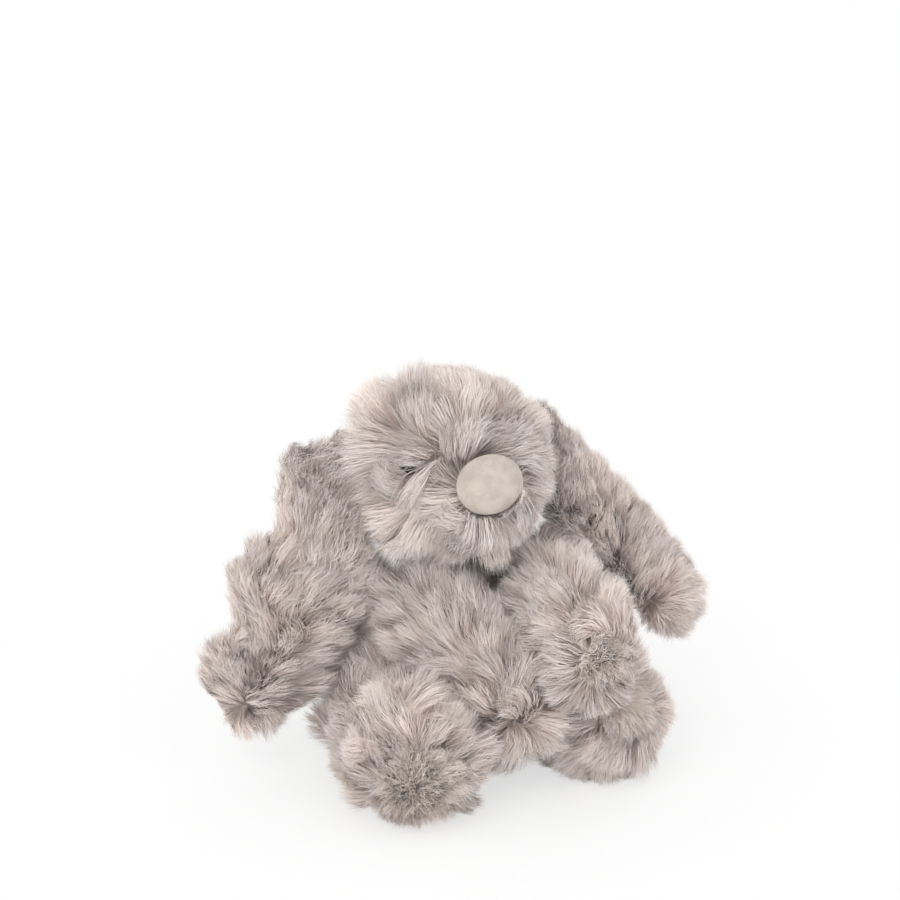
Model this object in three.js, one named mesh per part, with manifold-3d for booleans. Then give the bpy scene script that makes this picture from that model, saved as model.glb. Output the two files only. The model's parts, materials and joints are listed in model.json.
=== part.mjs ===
// A seated plush rabbit with long floppy ears, in millimetres. +Z is up, it faces -Y, its own left is +X.
// The origin is the middle of the flat patch under its seat. A pelt is the backing cloth with its laid
// pile, and its outside is the outside of that pile. Inside each pelt lies the filling that shapes it.
import * as THREE from "three";
import { mergeVertices } from "three/addons/utils/BufferGeometryUtils.js";
import Module from "manifold-3d";

const wasm = await Module();
wasm.setup();

// Cloth and clearances
const peltThickness = 12; // backing cloth and laid pile together
const backing = 2; // the backing cloth alone
const clearance = 0.3; // between two pieces that touch
const limbClearance = 0.6; // between an arm and the leg or the head that it meets, which both move
const pressedFlat = 0.5; // how deep each form that meets the ground is pressed flat
const turnStep = 6; // degrees between the places at which a limb is cut clear of what it turns against

// Torso: it stands on its seat, swells at the belly and tapers to the neck
const torsoHeight = 122;
const seatWidth = 84;
const bellyWidth = 92;
const chestWidth = 72;
const torsoDepthShare = 0.9; // depth from front to back against width
const seatRounding = 26; // height over which the underside rounds up into the sides
const neckRounding = 34; // height over which the chest closes at the neck
const seatSquareness = 2.6; // 2 is a round underside, more is a flatter one
const neckMouthDiameter = 34;

// Head: a ball with a muzzle, carried on the neck
const headWidth = 100;
const headDepth = 92;
const headHeight = 98;
const neckSink = 11; // how far the head sits down over the top of the torso
const headLean = 6; // towards the rabbit's right
const faceTurn = 3; // degrees towards the rabbit's right
const faceLift = 9; // degrees upwards
const muzzleWidth = 62;
const muzzleHeight = 58;
const muzzleLength = 64;
const muzzleReach = 54; // front of the muzzle from the middle of the head
const muzzleDrop = 7; // middle of the muzzle below the line of the nose
const neckPivotDrop = 43; // neck joint below the middle of the head

// Nose: a padded oval sewn on the front of the muzzle
const noseWidth = 36;
const noseHeight = 31;
const noseDepth = 17;
const noseProud = 7; // front of the nose beyond the front of the muzzle
const noseCloth = 2;
const noseMouthDiameter = 10;

// Eyes: domes on stems that pass through the backing and are locked by washers
const eyeDiameter = 12;
const eyeDomeHeight = 5;
const eyeTurn = 56; // degrees from the line of the nose, to each side
const eyeRise = 11; // degrees above the line of the nose
const stemDiameter = 4;
const stemLength = 7;
const washerDiameter = 13;
const washerThickness = 1.6;

// Ears: two panels of pelt sewn together round the edge, without filling
const earLength = 175;
const earRootWidth = 40;
const earWidth = 60;
const earTipWidth = 44;
const earThickness = 23;
const earRootInset = 9; // ear seam in from the side of the head
const earRootBack = 4; // and from the middle of the head, backwards and upwards
const earRootUp = 17;
const earEndRounding = 20;
const rightEarSlope = [42, 87]; // degrees downwards, at its root and at its tip
const leftEarSlope = [45, 55];
const rightEarFlare = 24; // degrees by which the ear's face turns from the front to the outside
const leftEarFlare = 36;
const earLiftAngle = 75; // degrees from where the ear rests

// Arms: each hangs from a shoulder and swells to its paw
const armLength = 118;
const armRootWidth = 37;
const armWidth = 44;
const pawWidth = 47;
const shoulderDrop = 22; // below the top of the torso
const shoulderInset = 3; // in from the side of the chest
const shoulderForward = 9;
const armRootInside = 14; // start of the arm behind its shoulder point
const armMouthDiameter = 11; // opening at the root, which the seam to the torso closes
const rightArmHeading = 29; // degrees from straight ahead, positive towards the rabbit's left
const leftArmHeading = -1;
const rightArmSlope = 37; // degrees downwards
const leftArmSlope = 12;
const armLiftAngle = 32; // degrees from where the arm rests
const rightArmOutTurn = 38; // degrees by which the line it turns about leans, so that it lifts outwards
const leftArmOutTurn = 25;

// Legs: each lies on the ground and swells to its foot, with the sole to the front
const legLength = 117;
const hipWidth = 65;
const legWidth = 59;
const footWidth = 65;
const hipInset = 2; // in from the side of the belly
const hipBack = 4;
const legRootInside = 20; // start of the leg behind its hip point
const legMouthDiameter = 28; // opening at the root, which the seam to the torso closes
const legSplayAngle = 9; // degrees by which each leg points outwards
const legSpreadAngle = 20; // degrees by which it can be spread further

// Tail: a ball on the back of the torso
const tailDiameter = 42;
const tailHeight = 34;
const tailSink = 9; // depth of the tail's ball in the torso
const tailMouthDiameter = 12;

// Weights: sewn pouches of plastic pellets
const seatPouchDiameter = 46;
const seatPouchHeight = 20;
const footPouchDiameter = 24;
const footPouchShare = 0.68; // its place along the leg
const footPouchLift = 2; // over the lowest of the pelt's inside, which curves up under it

// How finely the forms are drawn
const aroundOuter = 20;
const alongOuter = 12;
const aroundEar = 14;
const aroundInner = 12;
const alongInner = 8;

// Colours from the photograph
const greige = new THREE.MeshStandardMaterial({ color: 0xb5aca5, roughness: 0.9 });
const cream = new THREE.MeshStandardMaterial({ color: 0xd6cec2, roughness: 0.8 });
const wadding = new THREE.MeshStandardMaterial({ color: 0xf2f1ee, roughness: 1 });
const pouchCloth = new THREE.MeshStandardMaterial({ color: 0xdcdcd8, roughness: 0.9 });
const eyeGloss = new THREE.MeshStandardMaterial({ color: 0x1a1310, roughness: 0.15 });
const washerPlastic = new THREE.MeshStandardMaterial({ color: 0xe8e8e4, roughness: 0.5 });

const degree = Math.PI / 180;
const vector = (x, y, z) => new THREE.Vector3(x, y, z);

// A direction from a heading (0 is forwards, positive towards the rabbit's left) and a slope downwards.
function direction(heading, slope) {
  const level = Math.cos(slope * degree);
  return vector(
    Math.sin(heading * degree) * level,
    -Math.cos(heading * degree) * level,
    -Math.sin(slope * degree),
  );
}

// A path of a given length whose direction turns evenly from one heading and slope to another.
function turningPath({ start, heading, slope, length }) {
  const steps = 24;
  const points = [start.clone()];
  for (let i = 0; i < steps; i++) {
    const share = (i + 0.5) / steps;
    const towards = direction(
      THREE.MathUtils.lerp(heading[0], heading[1], share),
      THREE.MathUtils.lerp(slope[0], slope[1], share),
    );
    points.push(points[i].clone().addScaledVector(towards, length / steps));
  }
  return { curve: new THREE.CatmullRomCurve3(points), length };
}

// A smooth value along a form, from pairs of a share of the length and the value there.
function swell(pairs) {
  return (share) => {
    const next = pairs.findIndex(([at]) => at >= share);
    if (next === 0) return pairs[0][1];
    if (next < 0) return pairs[pairs.length - 1][1];
    const [from, a] = pairs[next - 1];
    const [to, b] = pairs[next];
    return a + (b - a) * THREE.MathUtils.smoothstep(share, from, to);
  };
}

// Where a ring of a form lies along it, and its size there against the form's full width. The ends round
// off, and the rings stand closer towards each tip.
function ringAt(turn, length, startRounding, endRounding, squareness) {
  const endTurns = 0.27;
  const rounded = (share, rounding, power) => {
    const angle = (share ** 1.5 * Math.PI) / 2;
    return { in: rounding * (1 - Math.cos(angle) ** power), size: Math.sin(angle) ** power };
  };
  if (turn < endTurns) {
    const cap = rounded(turn / endTurns, startRounding, 2 / squareness);
    return { at: cap.in, size: cap.size };
  }
  if (turn > 1 - endTurns) {
    const cap = rounded((1 - turn) / endTurns, endRounding, 1);
    return { at: length - cap.in, size: cap.size };
  }
  const share = (turn - endTurns) / (1 - 2 * endTurns);
  return { at: THREE.MathUtils.lerp(startRounding, length - endRounding, share), size: 1 };
}

// How much less an end rounds for each millimetre that the skin is pushed inwards
const roundingKept = 0.6;

// A soft form: a sphere's grid of vertices, laid out along a path. depth pushes its skin inwards, all over.
// layer 1 or -1 keeps only the half on that side of the path's middle sheet, less half a clearance.
function softForm(form, { depth = 0, layer = 0, around = aroundOuter, along = alongOuter } = {}) {
  const { path, across, wide, thick, startRounding, endRounding, squareness = 2 } = form;
  const geometry = new THREE.SphereGeometry(1, around, along);
  const position = geometry.attributes.position;
  const inner = path.length - 2 * depth;
  const point = new THREE.Vector3();
  for (let i = 0; i < position.count; i++) {
    point.fromBufferAttribute(position, i);
    const turn = Math.acos(THREE.MathUtils.clamp(point.y, -1, 1)) / Math.PI;
    const angle = Math.atan2(point.z, point.x);
    const ring = ringAt(
      turn,
      inner,
      startRounding - depth * roundingKept,
      endRounding - depth * roundingKept,
      squareness,
    );
    const share = THREE.MathUtils.clamp((ring.at + depth) / path.length, 0, 1);
    const middle = path.curve.getPointAt(share);
    const forwards = path.curve.getTangentAt(share);
    const side = across.clone().addScaledVector(forwards, -across.dot(forwards)).normalize();
    const face = forwards.clone().cross(side);
    const out = Math.cos(angle) * (wide(share) / 2 - depth) * ring.size;
    let up = Math.sin(angle) * (thick(share) / 2 - depth) * ring.size;
    if (layer !== 0) up = layer * Math.max(layer * up, clearance / 2);
    middle.addScaledVector(side, out).addScaledVector(face, up);
    position.setXYZ(i, middle.x, middle.y, middle.z);
  }
  return solidOf(geometry);
}

// A closed geometry, with its faces pointing outwards, as a solid that can be joined and cut.
function solidOf(geometry) {
  const bare = new THREE.BufferGeometry();
  bare.setAttribute("position", geometry.getAttribute("position"));
  bare.setIndex(geometry.index);
  const merged = mergeVertices(bare, 1e-4);
  const corners = merged.index.array;
  const triVerts = [];
  for (let i = 0; i < corners.length; i += 3) {
    const [a, b, c] = corners.slice(i, i + 3);
    if (a === b || b === c || c === a) continue;
    triVerts.push(a, b, c);
  }
  return new wasm.Manifold(
    new wasm.Mesh({
      numProp: 3,
      vertProperties: new Float32Array(merged.attributes.position.array),
      triVerts: new Uint32Array(triVerts),
    }),
  );
}

function meshOf(solid, name, material) {
  const made = solid.getMesh();
  const geometry = new THREE.BufferGeometry();
  geometry.setAttribute("position", new THREE.BufferAttribute(new Float32Array(made.vertProperties), 3));
  geometry.setIndex(new THREE.BufferAttribute(new Uint32Array(made.triVerts), 1));
  geometry.computeVertexNormals();
  const mesh = new THREE.Mesh(geometry, material);
  mesh.name = name;
  return mesh;
}

function placed(geometry, matrix) {
  return solidOf(geometry.clone().applyMatrix4(matrix));
}

// An ellipsoid of three full sizes, placed by a matrix.
function ellipsoid(width, depth, height, matrix, around = aroundOuter, along = alongOuter) {
  const geometry = new THREE.SphereGeometry(0.5, around, along);
  geometry.rotateX(Math.PI / 2);
  geometry.scale(width, depth, height);
  return placed(geometry, matrix);
}

// A round bar from one point towards another, of a given diameter.
function bar(from, to, diameter, around = 14) {
  const line = to.clone().sub(from);
  const geometry = new THREE.CylinderGeometry(diameter / 2, diameter / 2, line.length(), around);
  const turn = new THREE.Quaternion().setFromUnitVectors(vector(0, 1, 0), line.clone().normalize());
  const middle = from.clone().addScaledVector(line, 0.5);
  return placed(geometry, new THREE.Matrix4().compose(middle, turn, vector(1, 1, 1)));
}

// The solid as it lies after a turn about an axis through a point, in degrees.
function turned(solid, pivot, axis, degrees) {
  const matrix = new THREE.Matrix4()
    .makeTranslation(pivot)
    .multiply(new THREE.Matrix4().makeRotationAxis(axis, degrees * degree))
    .multiply(new THREE.Matrix4().makeTranslation(pivot.clone().negate()));
  return solid.transform(matrix.elements);
}

// The places that a blocker takes, seen from a limb that turns about its joint through its whole range.
function sweptBlocker(blocker, { pivot, axis, range }) {
  const [low, high] = range;
  const steps = Math.max(1, Math.ceil((high - low) / turnStep));
  let swept = blocker;
  for (let i = 0; i <= steps; i++) {
    const at = THREE.MathUtils.lerp(low, high, i / steps);
    if (at !== 0) swept = swept.add(turned(blocker, pivot, axis, -at));
  }
  return swept;
}

// The places that a turning body takes through its whole range.
function sweptBody(solid, { pivot, axis, range }) {
  return sweptBlocker(solid, { pivot, axis, range: [-range[1], -range[0]] });
}

// Everything below a height.
function groundBlock(height) {
  const size = 800;
  const geometry = new THREE.BoxGeometry(size, size, size);
  return placed(geometry, new THREE.Matrix4().makeTranslation(0, 0, height - size / 2));
}

// A room and everything straight below it, so that nothing is left under what lies in the room.
function roomToGround(room) {
  const { min, max } = room.boundingBox();
  const middle = vector((min[0] + max[0]) / 2, (min[1] + max[1]) / 2, (min[2] + max[2]) / 2);
  const below = placed(
    new THREE.CylinderGeometry(0.5, 0.5, 1, aroundInner),
    new THREE.Matrix4()
      .makeTranslation(middle.x, middle.y, middle.z / 2)
      .multiply(new THREE.Matrix4().makeScale(max[0] - min[0], max[1] - min[1], middle.z))
      .multiply(new THREE.Matrix4().makeRotationX(Math.PI / 2)),
  );
  return room.add(below);
}

// Torso
const torsoForm = {
  path: turningPath({
    start: vector(0, 0, -pressedFlat),
    heading: [180, 180],
    slope: [-90, -90],
    length: torsoHeight + pressedFlat,
  }),
  across: vector(1, 0, 0),
  wide: swell([[0, seatWidth], [0.3, bellyWidth], [0.8, chestWidth]]),
  thick: swell([
    [0, seatWidth * torsoDepthShare],
    [0.3, bellyWidth * torsoDepthShare],
    [0.8, chestWidth * torsoDepthShare],
  ]),
  startRounding: seatRounding,
  endRounding: neckRounding,
  squareness: seatSquareness,
};
const torsoSolid = softForm(torsoForm);
const torsoBlocker = softForm(torsoForm, { depth: -clearance });
const torsoAxis = (height) => vector(0, 0, height);

const torsoMouth = bar(torsoAxis(torsoHeight / 2), torsoAxis(torsoHeight + clearance), neckMouthDiameter);
const torsoHollow = softForm(torsoForm, { depth: peltThickness, around: aroundInner, along: alongInner });
const torsoPelt = torsoSolid.subtract(torsoHollow).subtract(torsoMouth).subtract(groundBlock(0));

// The pouch lies flat at the bottom of the torso's hollow
const seatPouchMatrix = new THREE.Matrix4().makeTranslation(
  torsoAxis(peltThickness + 3 * clearance + seatPouchHeight / 2),
);
const seatPouch = ellipsoid(
  seatPouchDiameter,
  seatPouchDiameter * torsoDepthShare,
  seatPouchHeight,
  seatPouchMatrix,
  aroundInner,
  alongInner,
);
const seatPouchRoom = ellipsoid(
  seatPouchDiameter + 2 * clearance,
  seatPouchDiameter * torsoDepthShare + 2 * clearance,
  seatPouchHeight + 2 * clearance,
  seatPouchMatrix,
  aroundInner,
  alongInner,
);
const torsoStuffing = softForm(torsoForm, {
  depth: peltThickness + clearance,
  around: aroundInner,
  along: alongInner,
}).subtract(roomToGround(seatPouchRoom));

// Head: its own frame has the face along -Y and the middle of the head at the origin
const headMiddle = vector(-headLean, 0, torsoHeight + headHeight / 2 - neckSink);
const headFrame = new THREE.Matrix4()
  .makeTranslation(headMiddle)
  .multiply(new THREE.Matrix4().makeRotationZ(-faceTurn * degree))
  .multiply(new THREE.Matrix4().makeRotationX(-faceLift * degree));
const neckJoint = {
  pivot: vector(0, 0, headMiddle.z - neckPivotDrop),
  axis: vector(1, 0, 0),
  range: [-10, 10],
};
const onHead = (x, y, z) => headFrame.clone().multiply(new THREE.Matrix4().makeTranslation(x, y, z));
const muzzleMiddle = onHead(0, -(muzzleReach - muzzleLength / 2), -muzzleDrop);

// The head's skin pushed inwards by a depth, muzzle and all.
function headShape(depth, around, along) {
  const skull = ellipsoid(
    headWidth - 2 * depth,
    headDepth - 2 * depth,
    headHeight - 2 * depth,
    onHead(0, 0, 0),
    around,
    along,
  );
  const muzzle = ellipsoid(
    muzzleWidth - 2 * depth,
    muzzleLength - 2 * depth,
    muzzleHeight - 2 * depth,
    muzzleMiddle,
    around,
    along,
  );
  return skull.add(muzzle);
}

const neckBlocker = sweptBlocker(torsoBlocker, neckJoint);
const headMouth = bar(headMiddle, headMiddle.clone().setZ(torsoHeight - neckSink), neckMouthDiameter);
const headSolid = headShape(0, aroundOuter, alongOuter);
const headBlocker = headShape(-clearance, aroundOuter, alongOuter);
const headReach = sweptBody(headShape(-limbClearance, aroundOuter, alongOuter), neckJoint);
const headHollow = headShape(peltThickness, aroundInner, alongInner);

// Nose
const noseMiddle = onHead(0, -(muzzleReach + noseProud - noseDepth / 2), 0);
const noseShape = (depth, around, along) =>
  ellipsoid(
    noseWidth - 2 * depth,
    noseDepth - 2 * depth,
    noseHeight - 2 * depth,
    noseMiddle,
    around,
    along,
  );
const noseBack = vector(0, noseDepth, 0).applyMatrix4(noseMiddle);
const noseMouth = bar(vector(0, 0, 0).applyMatrix4(noseMiddle), noseBack, noseMouthDiameter);
const noseCover = noseShape(0, aroundInner, alongInner)
  .subtract(noseShape(noseCloth, aroundInner, alongInner))
  .subtract(noseMouth);
const noseWadding = noseShape(noseCloth + clearance, aroundInner, alongInner);
const noseRoom = noseShape(-clearance, aroundInner, alongInner);

// Eyes: sign -1 is the rabbit's right
function eyeOf(sign) {
  const outwards = new THREE.Vector3(
    sign * Math.sin(eyeTurn * degree) * Math.cos(eyeRise * degree),
    -Math.cos(eyeTurn * degree) * Math.cos(eyeRise * degree),
    Math.sin(eyeRise * degree),
  );
  const skinReach =
    1 /
    Math.hypot(
      outwards.x / (headWidth / 2),
      outwards.y / (headDepth / 2),
      outwards.z / (headHeight / 2),
    );
  const clothReach = skinReach - peltThickness + backing;
  const at = (reach) => outwards.clone().multiplyScalar(reach).applyMatrix4(headFrame);
  const stemEnd = clothReach + clearance - stemLength;
  const domeTurn = new THREE.Quaternion().setFromUnitVectors(
    vector(0, 1, 0),
    at(1).sub(at(0)).normalize(),
  );
  const domeProfile = [vector(0, 0, 0)];
  const profileSteps = 5;
  for (let i = 0; i <= profileSteps; i++) {
    const angle = (i / profileSteps) * (Math.PI / 2);
    domeProfile.push(
      vector((Math.cos(angle) * eyeDiameter) / 2, Math.sin(angle) * eyeDomeHeight, 0),
    );
  }
  domeProfile[domeProfile.length - 1].x = 0;
  const dome = placed(
    new THREE.LatheGeometry(domeProfile.map((p) => new THREE.Vector2(p.x, p.y)), 14),
    new THREE.Matrix4().compose(at(clothReach + clearance), domeTurn, vector(1, 1, 1)),
  );
  const washerTop = clothReach - backing - clearance;
  const washerBottom = washerTop - washerThickness;
  return {
    eye: dome.add(bar(at(clothReach + 2 * clearance), at(stemEnd), stemDiameter)),
    washer: bar(at(washerTop), at(washerBottom), washerDiameter).subtract(
      bar(at(washerTop + clearance), at(washerBottom - clearance), stemDiameter + 2 * clearance),
    ),
    peltRoom: bar(at(clothReach), at(skinReach + backing), eyeDiameter + 2 * clearance)
      .add(bar(at(clothReach + backing), at(stemEnd), stemDiameter + 2 * clearance))
      .add(bar(at(clothReach - backing), at(stemEnd), washerDiameter + 2 * clearance)),
    fillingRoom: bar(at(clothReach), at(stemEnd - clearance), washerDiameter + 2 * clearance),
  };
}
const eyes = { right: eyeOf(-1), left: eyeOf(1) };

const headPelt = headSolid
  .subtract(headHollow)
  .subtract(headMouth)
  .subtract(neckBlocker)
  .subtract(noseRoom)
  .subtract(eyes.right.peltRoom)
  .subtract(eyes.left.peltRoom);
const headStuffing = headShape(peltThickness + clearance, aroundInner, alongInner)
  .subtract(neckBlocker)
  .subtract(eyes.right.fillingRoom)
  .subtract(eyes.left.fillingRoom);

// Ears: the right one hangs nearly straight down, and the left one is spread out to the side
function earOf(sign, { slope, flare }) {
  const sideways = sign * 90;
  const root = vector(sign * (headWidth / 2 - earRootInset), earRootBack, earRootUp).applyMatrix4(
    headFrame,
  );
  const form = {
    path: turningPath({ start: root, heading: [sideways, sideways], slope, length: earLength }),
    across: vector(Math.cos(flare * degree), sign * Math.sin(flare * degree), 0),
    wide: swell([[0, earRootWidth], [0.45, earWidth], [0.75, earWidth], [1, earTipWidth]]),
    thick: swell([[0, earThickness], [1, earThickness]]),
    startRounding: earEndRounding / 2,
    endRounding: earEndRounding,
  };
  const joint = { pivot: root, axis: vector(0, -sign, 0), range: [0, earLiftAngle] };
  const blocker = sweptBlocker(headBlocker, joint);
  return {
    joint,
    front: softForm(form, { layer: -1, around: aroundEar }).subtract(blocker),
    back: softForm(form, { layer: 1, around: aroundEar }).subtract(blocker),
  };
}
const ears = {
  right: earOf(-1, { slope: rightEarSlope, flare: rightEarFlare }),
  left: earOf(1, { slope: leftEarSlope, flare: leftEarFlare }),
};

// A limb's pelt and filling, cut clear of the larger bodies through the range of its joint.
function limbOf({ form, joint, blocker, mouthDiameter }) {
  const cutter = sweptBlocker(torsoBlocker, joint).add(blocker);
  const rootPoint = form.path.curve.getPointAt(0);
  const mouthEnd = form.path.curve.getPointAt((2 * peltThickness) / form.path.length);
  const hollow = softForm(form, { depth: peltThickness, around: aroundInner, along: alongInner });
  return {
    pelt: softForm(form)
      .subtract(hollow)
      .subtract(bar(rootPoint, mouthEnd, mouthDiameter))
      .subtract(cutter),
    filling: softForm(form, {
      depth: peltThickness + clearance,
      around: aroundInner,
      along: alongInner,
    }).subtract(cutter),
  };
}

// Legs
function legOf(sign) {
  const heading = sign * legSplayAngle;
  const along = direction(heading, 0);
  const hip = vector(sign * (bellyWidth / 2 - hipInset), hipBack, footWidth / 2 - pressedFlat);
  const girth = swell([[0.35, hipWidth], [0.5, legWidth], [0.7, footWidth]]);
  const form = {
    path: turningPath({
      start: hip.clone().addScaledVector(along, -legRootInside),
      heading: [heading, heading],
      slope: [0, 0],
      length: legLength,
    }),
    across: vector(1, 0, 0),
    wide: girth,
    thick: girth,
    startRounding: hipWidth / 2,
    endRounding: footWidth * 0.42,
  };
  const joint = { pivot: hip, axis: vector(0, 0, sign), range: [0, legSpreadAngle] };
  const limb = limbOf({ form, joint, blocker: groundBlock(0), mouthDiameter: legMouthDiameter });
  const pouchMiddle = form.path.curve.getPointAt(footPouchShare);
  pouchMiddle.z = peltThickness + footPouchLift + footPouchDiameter / 2;
  const pouchMatrix = new THREE.Matrix4().makeTranslation(pouchMiddle);
  const pouchSize = (grow) => footPouchDiameter + 2 * grow;
  const pouch = (grow) =>
    ellipsoid(pouchSize(grow), pouchSize(grow), pouchSize(grow), pouchMatrix, aroundInner, alongInner);
  return {
    ...limb,
    joint,
    pouch: pouch(0),
    reach: sweptBody(softForm(form, { depth: -limbClearance }), joint),
    filling: limb.filling.subtract(roomToGround(pouch(clearance))),
  };
}
const legs = {
  right: legOf(-1),
  left: legOf(1),
};

// Arms
function armOf(sign, { heading, slope, outTurn }) {
  const shoulder = vector(
    sign * (chestWidth / 2 - shoulderInset),
    -shoulderForward,
    torsoHeight - shoulderDrop,
  );
  const girth = swell([[0, armRootWidth], [0.45, armWidth], [0.8, pawWidth]]);
  const form = {
    path: turningPath({
      start: shoulder.clone().addScaledVector(direction(heading, slope), -armRootInside),
      heading: [heading, heading],
      slope: [slope, slope],
      length: armLength,
    }),
    across: vector(1, 0, 0),
    wide: girth,
    thick: girth,
    startRounding: armRootWidth / 2,
    endRounding: pawWidth * 0.42,
  };
  const axis = vector(-Math.cos(outTurn * degree), 0, sign * Math.sin(outTurn * degree));
  const joint = { pivot: shoulder, axis, range: [0, armLiftAngle] };
  const limb = limbOf({
    form,
    joint,
    blocker: sweptBlocker(headReach.add(legs.right.reach).add(legs.left.reach), joint),
    mouthDiameter: armMouthDiameter,
  });
  return { ...limb, joint };
}
const arms = {
  right: armOf(-1, { heading: rightArmHeading, slope: rightArmSlope, outTurn: rightArmOutTurn }),
  left: armOf(1, { heading: leftArmHeading, slope: leftArmSlope, outTurn: leftArmOutTurn }),
};

// Tail
const tailMiddle = vector(
  0,
  (bellyWidth * torsoDepthShare) / 2 + tailDiameter / 2 - tailSink,
  tailHeight,
);
const tailRoot = tailMiddle.clone().setY(tailMiddle.y - tailDiameter / 2);
const tailJoint = { pivot: tailRoot, axis: vector(1, 0, 0), range: [0, 20] };
const tailBlocker = sweptBlocker(torsoBlocker, tailJoint);
const tailFrame = new THREE.Matrix4().makeTranslation(tailMiddle);
const tailBall = (depth) =>
  ellipsoid(
    tailDiameter - 2 * depth,
    tailDiameter - 2 * depth,
    tailDiameter - 2 * depth,
    tailFrame,
    aroundInner,
    alongInner,
  );
const tailPelt = tailBall(0)
  .subtract(tailBall(peltThickness))
  .subtract(bar(tailRoot, tailMiddle, tailMouthDiameter))
  .subtract(tailBlocker);
const tailStuffing = tailBall(peltThickness + clearance).subtract(tailBlocker);

// The assembly
const torsoGroup = new THREE.Group();
torsoGroup.add(
  meshOf(torsoPelt, "torso_pelt", greige),
  meshOf(torsoStuffing, "torso_stuffing", wadding),
  meshOf(seatPouch, "seat_pellet_pouch", pouchCloth),
);

const headGroup = new THREE.Group();
headGroup.add(
  meshOf(headPelt, "head_pelt", greige),
  meshOf(headStuffing, "head_stuffing", wadding),
  meshOf(noseCover, "nose_cover", cream),
  meshOf(noseWadding, "nose_wadding", wadding),
);
for (const [side, { eye, washer }] of Object.entries(eyes))
  headGroup.add(
    meshOf(eye, `${side}_eye`, eyeGloss),
    meshOf(washer, `${side}_eye_washer`, washerPlastic),
  );
for (const [side, { front, back }] of Object.entries(ears))
  headGroup.add(
    meshOf(front, `${side}_ear_front_panel`, greige),
    meshOf(back, `${side}_ear_back_panel`, greige),
  );

const limbGroup = new THREE.Group();
for (const [side, { pelt, filling }] of Object.entries(arms))
  limbGroup.add(
    meshOf(pelt, `${side}_arm_pelt`, greige),
    meshOf(filling, `${side}_arm_stuffing`, wadding),
  );
for (const [side, { pelt, filling, pouch }] of Object.entries(legs))
  limbGroup.add(
    meshOf(pelt, `${side}_leg_pelt`, greige),
    meshOf(filling, `${side}_leg_stuffing`, wadding),
    meshOf(pouch, `${side}_foot_pellet_pouch`, pouchCloth),
  );

const tailGroup = new THREE.Group();
tailGroup.add(meshOf(tailPelt, "tail_pelt", greige), meshOf(tailStuffing, "tail_stuffing", wadding));

const rabbit = new THREE.Group();
rabbit.add(torsoGroup, headGroup, limbGroup, tailGroup);

export default rabbit;
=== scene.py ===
# %% [markdown]
# # A plush rabbit with long floppy ears
#
# The rabbit sits 21 cm tall. What makes it look real is its pelt: a knitted backing with a pile of soft
# hair, about 25 mm long, that lies over in locks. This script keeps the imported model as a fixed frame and
# dresses it, piece by piece. Every size is in metres, +Z is up and the rabbit faces -Y.

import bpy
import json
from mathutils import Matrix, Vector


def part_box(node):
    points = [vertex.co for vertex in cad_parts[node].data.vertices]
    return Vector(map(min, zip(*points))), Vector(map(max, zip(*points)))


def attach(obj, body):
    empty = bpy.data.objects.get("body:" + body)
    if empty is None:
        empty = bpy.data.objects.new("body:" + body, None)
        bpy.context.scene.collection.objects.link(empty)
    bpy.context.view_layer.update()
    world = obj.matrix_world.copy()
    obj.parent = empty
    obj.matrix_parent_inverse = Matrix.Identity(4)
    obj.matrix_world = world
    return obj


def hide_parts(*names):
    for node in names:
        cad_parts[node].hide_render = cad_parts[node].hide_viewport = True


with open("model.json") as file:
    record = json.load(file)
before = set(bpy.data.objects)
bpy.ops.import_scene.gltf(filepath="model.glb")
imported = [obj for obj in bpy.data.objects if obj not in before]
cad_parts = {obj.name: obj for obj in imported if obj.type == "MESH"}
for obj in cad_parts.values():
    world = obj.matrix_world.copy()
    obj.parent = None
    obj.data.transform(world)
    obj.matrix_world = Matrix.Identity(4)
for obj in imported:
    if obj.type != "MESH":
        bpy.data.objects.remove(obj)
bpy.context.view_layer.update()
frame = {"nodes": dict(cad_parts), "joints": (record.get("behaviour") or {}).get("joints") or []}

# %% [markdown]
# # The tools
#
# The pile is about half a million hairs, so it is worked out with numpy, which handles all hairs of a
# piece at once. mathutils holds a tree that finds the nearest lock, and rays that find where the camera
# sees a surface. One seeded generator for each piece gives the same pelt on each run.

# %% Modules and units
import json
import math
import zlib

import bpy
import numpy as np
from mathutils import Vector
from mathutils.bvhtree import BVHTree
from mathutils.kdtree import KDTree

MM = 0.001


def seeded(name):
    """A random generator of a piece's own, so that a change to one piece leaves the others alone."""
    return np.random.default_rng(zlib.crc32(name.encode()))


def unit(vectors):
    lengths = np.linalg.norm(vectors, axis=-1, keepdims=True)
    return vectors / np.maximum(lengths, 1e-12)


def smoothstep(low, high, values):
    share = np.clip((values - low) / (high - low), 0, 1)  # it falls where low is above high
    return share * share * (3 - 2 * share)


print("one millimetre is", MM)

# %% [markdown]
# # The camera
#
# The photograph looks down on the toy from its right front. A long lens from a little over a metre away
# keeps the perspective flat, as a product photographer does. The camera's place follows from the angles,
# the distance and the pixel at which the middle of the seat lies, so it isn't moved by hand.

# %% Camera
PHOTO_PIXELS = 900
CAMERA_AZIMUTH, CAMERA_ELEVATION = math.radians(-24), math.radians(20)
CAMERA_DISTANCE = 1.17
CLIP_START, CLIP_END = 0.05, 30
LENS_MM, SENSOR_MM = 85, 36
SEAT_PIXEL = (462, 736.6)

HALF_VIEW = SENSOR_MM / 2 / LENS_MM
CAMERA_BACK = np.array([
    math.sin(CAMERA_AZIMUTH) * math.cos(CAMERA_ELEVATION),
    -math.cos(CAMERA_AZIMUTH) * math.cos(CAMERA_ELEVATION),
    math.sin(CAMERA_ELEVATION),
])
CAMERA_RIGHT = np.array([math.cos(CAMERA_AZIMUTH), math.sin(CAMERA_AZIMUTH), 0])
CAMERA_UP = np.cross(CAMERA_BACK, CAMERA_RIGHT)


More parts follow.
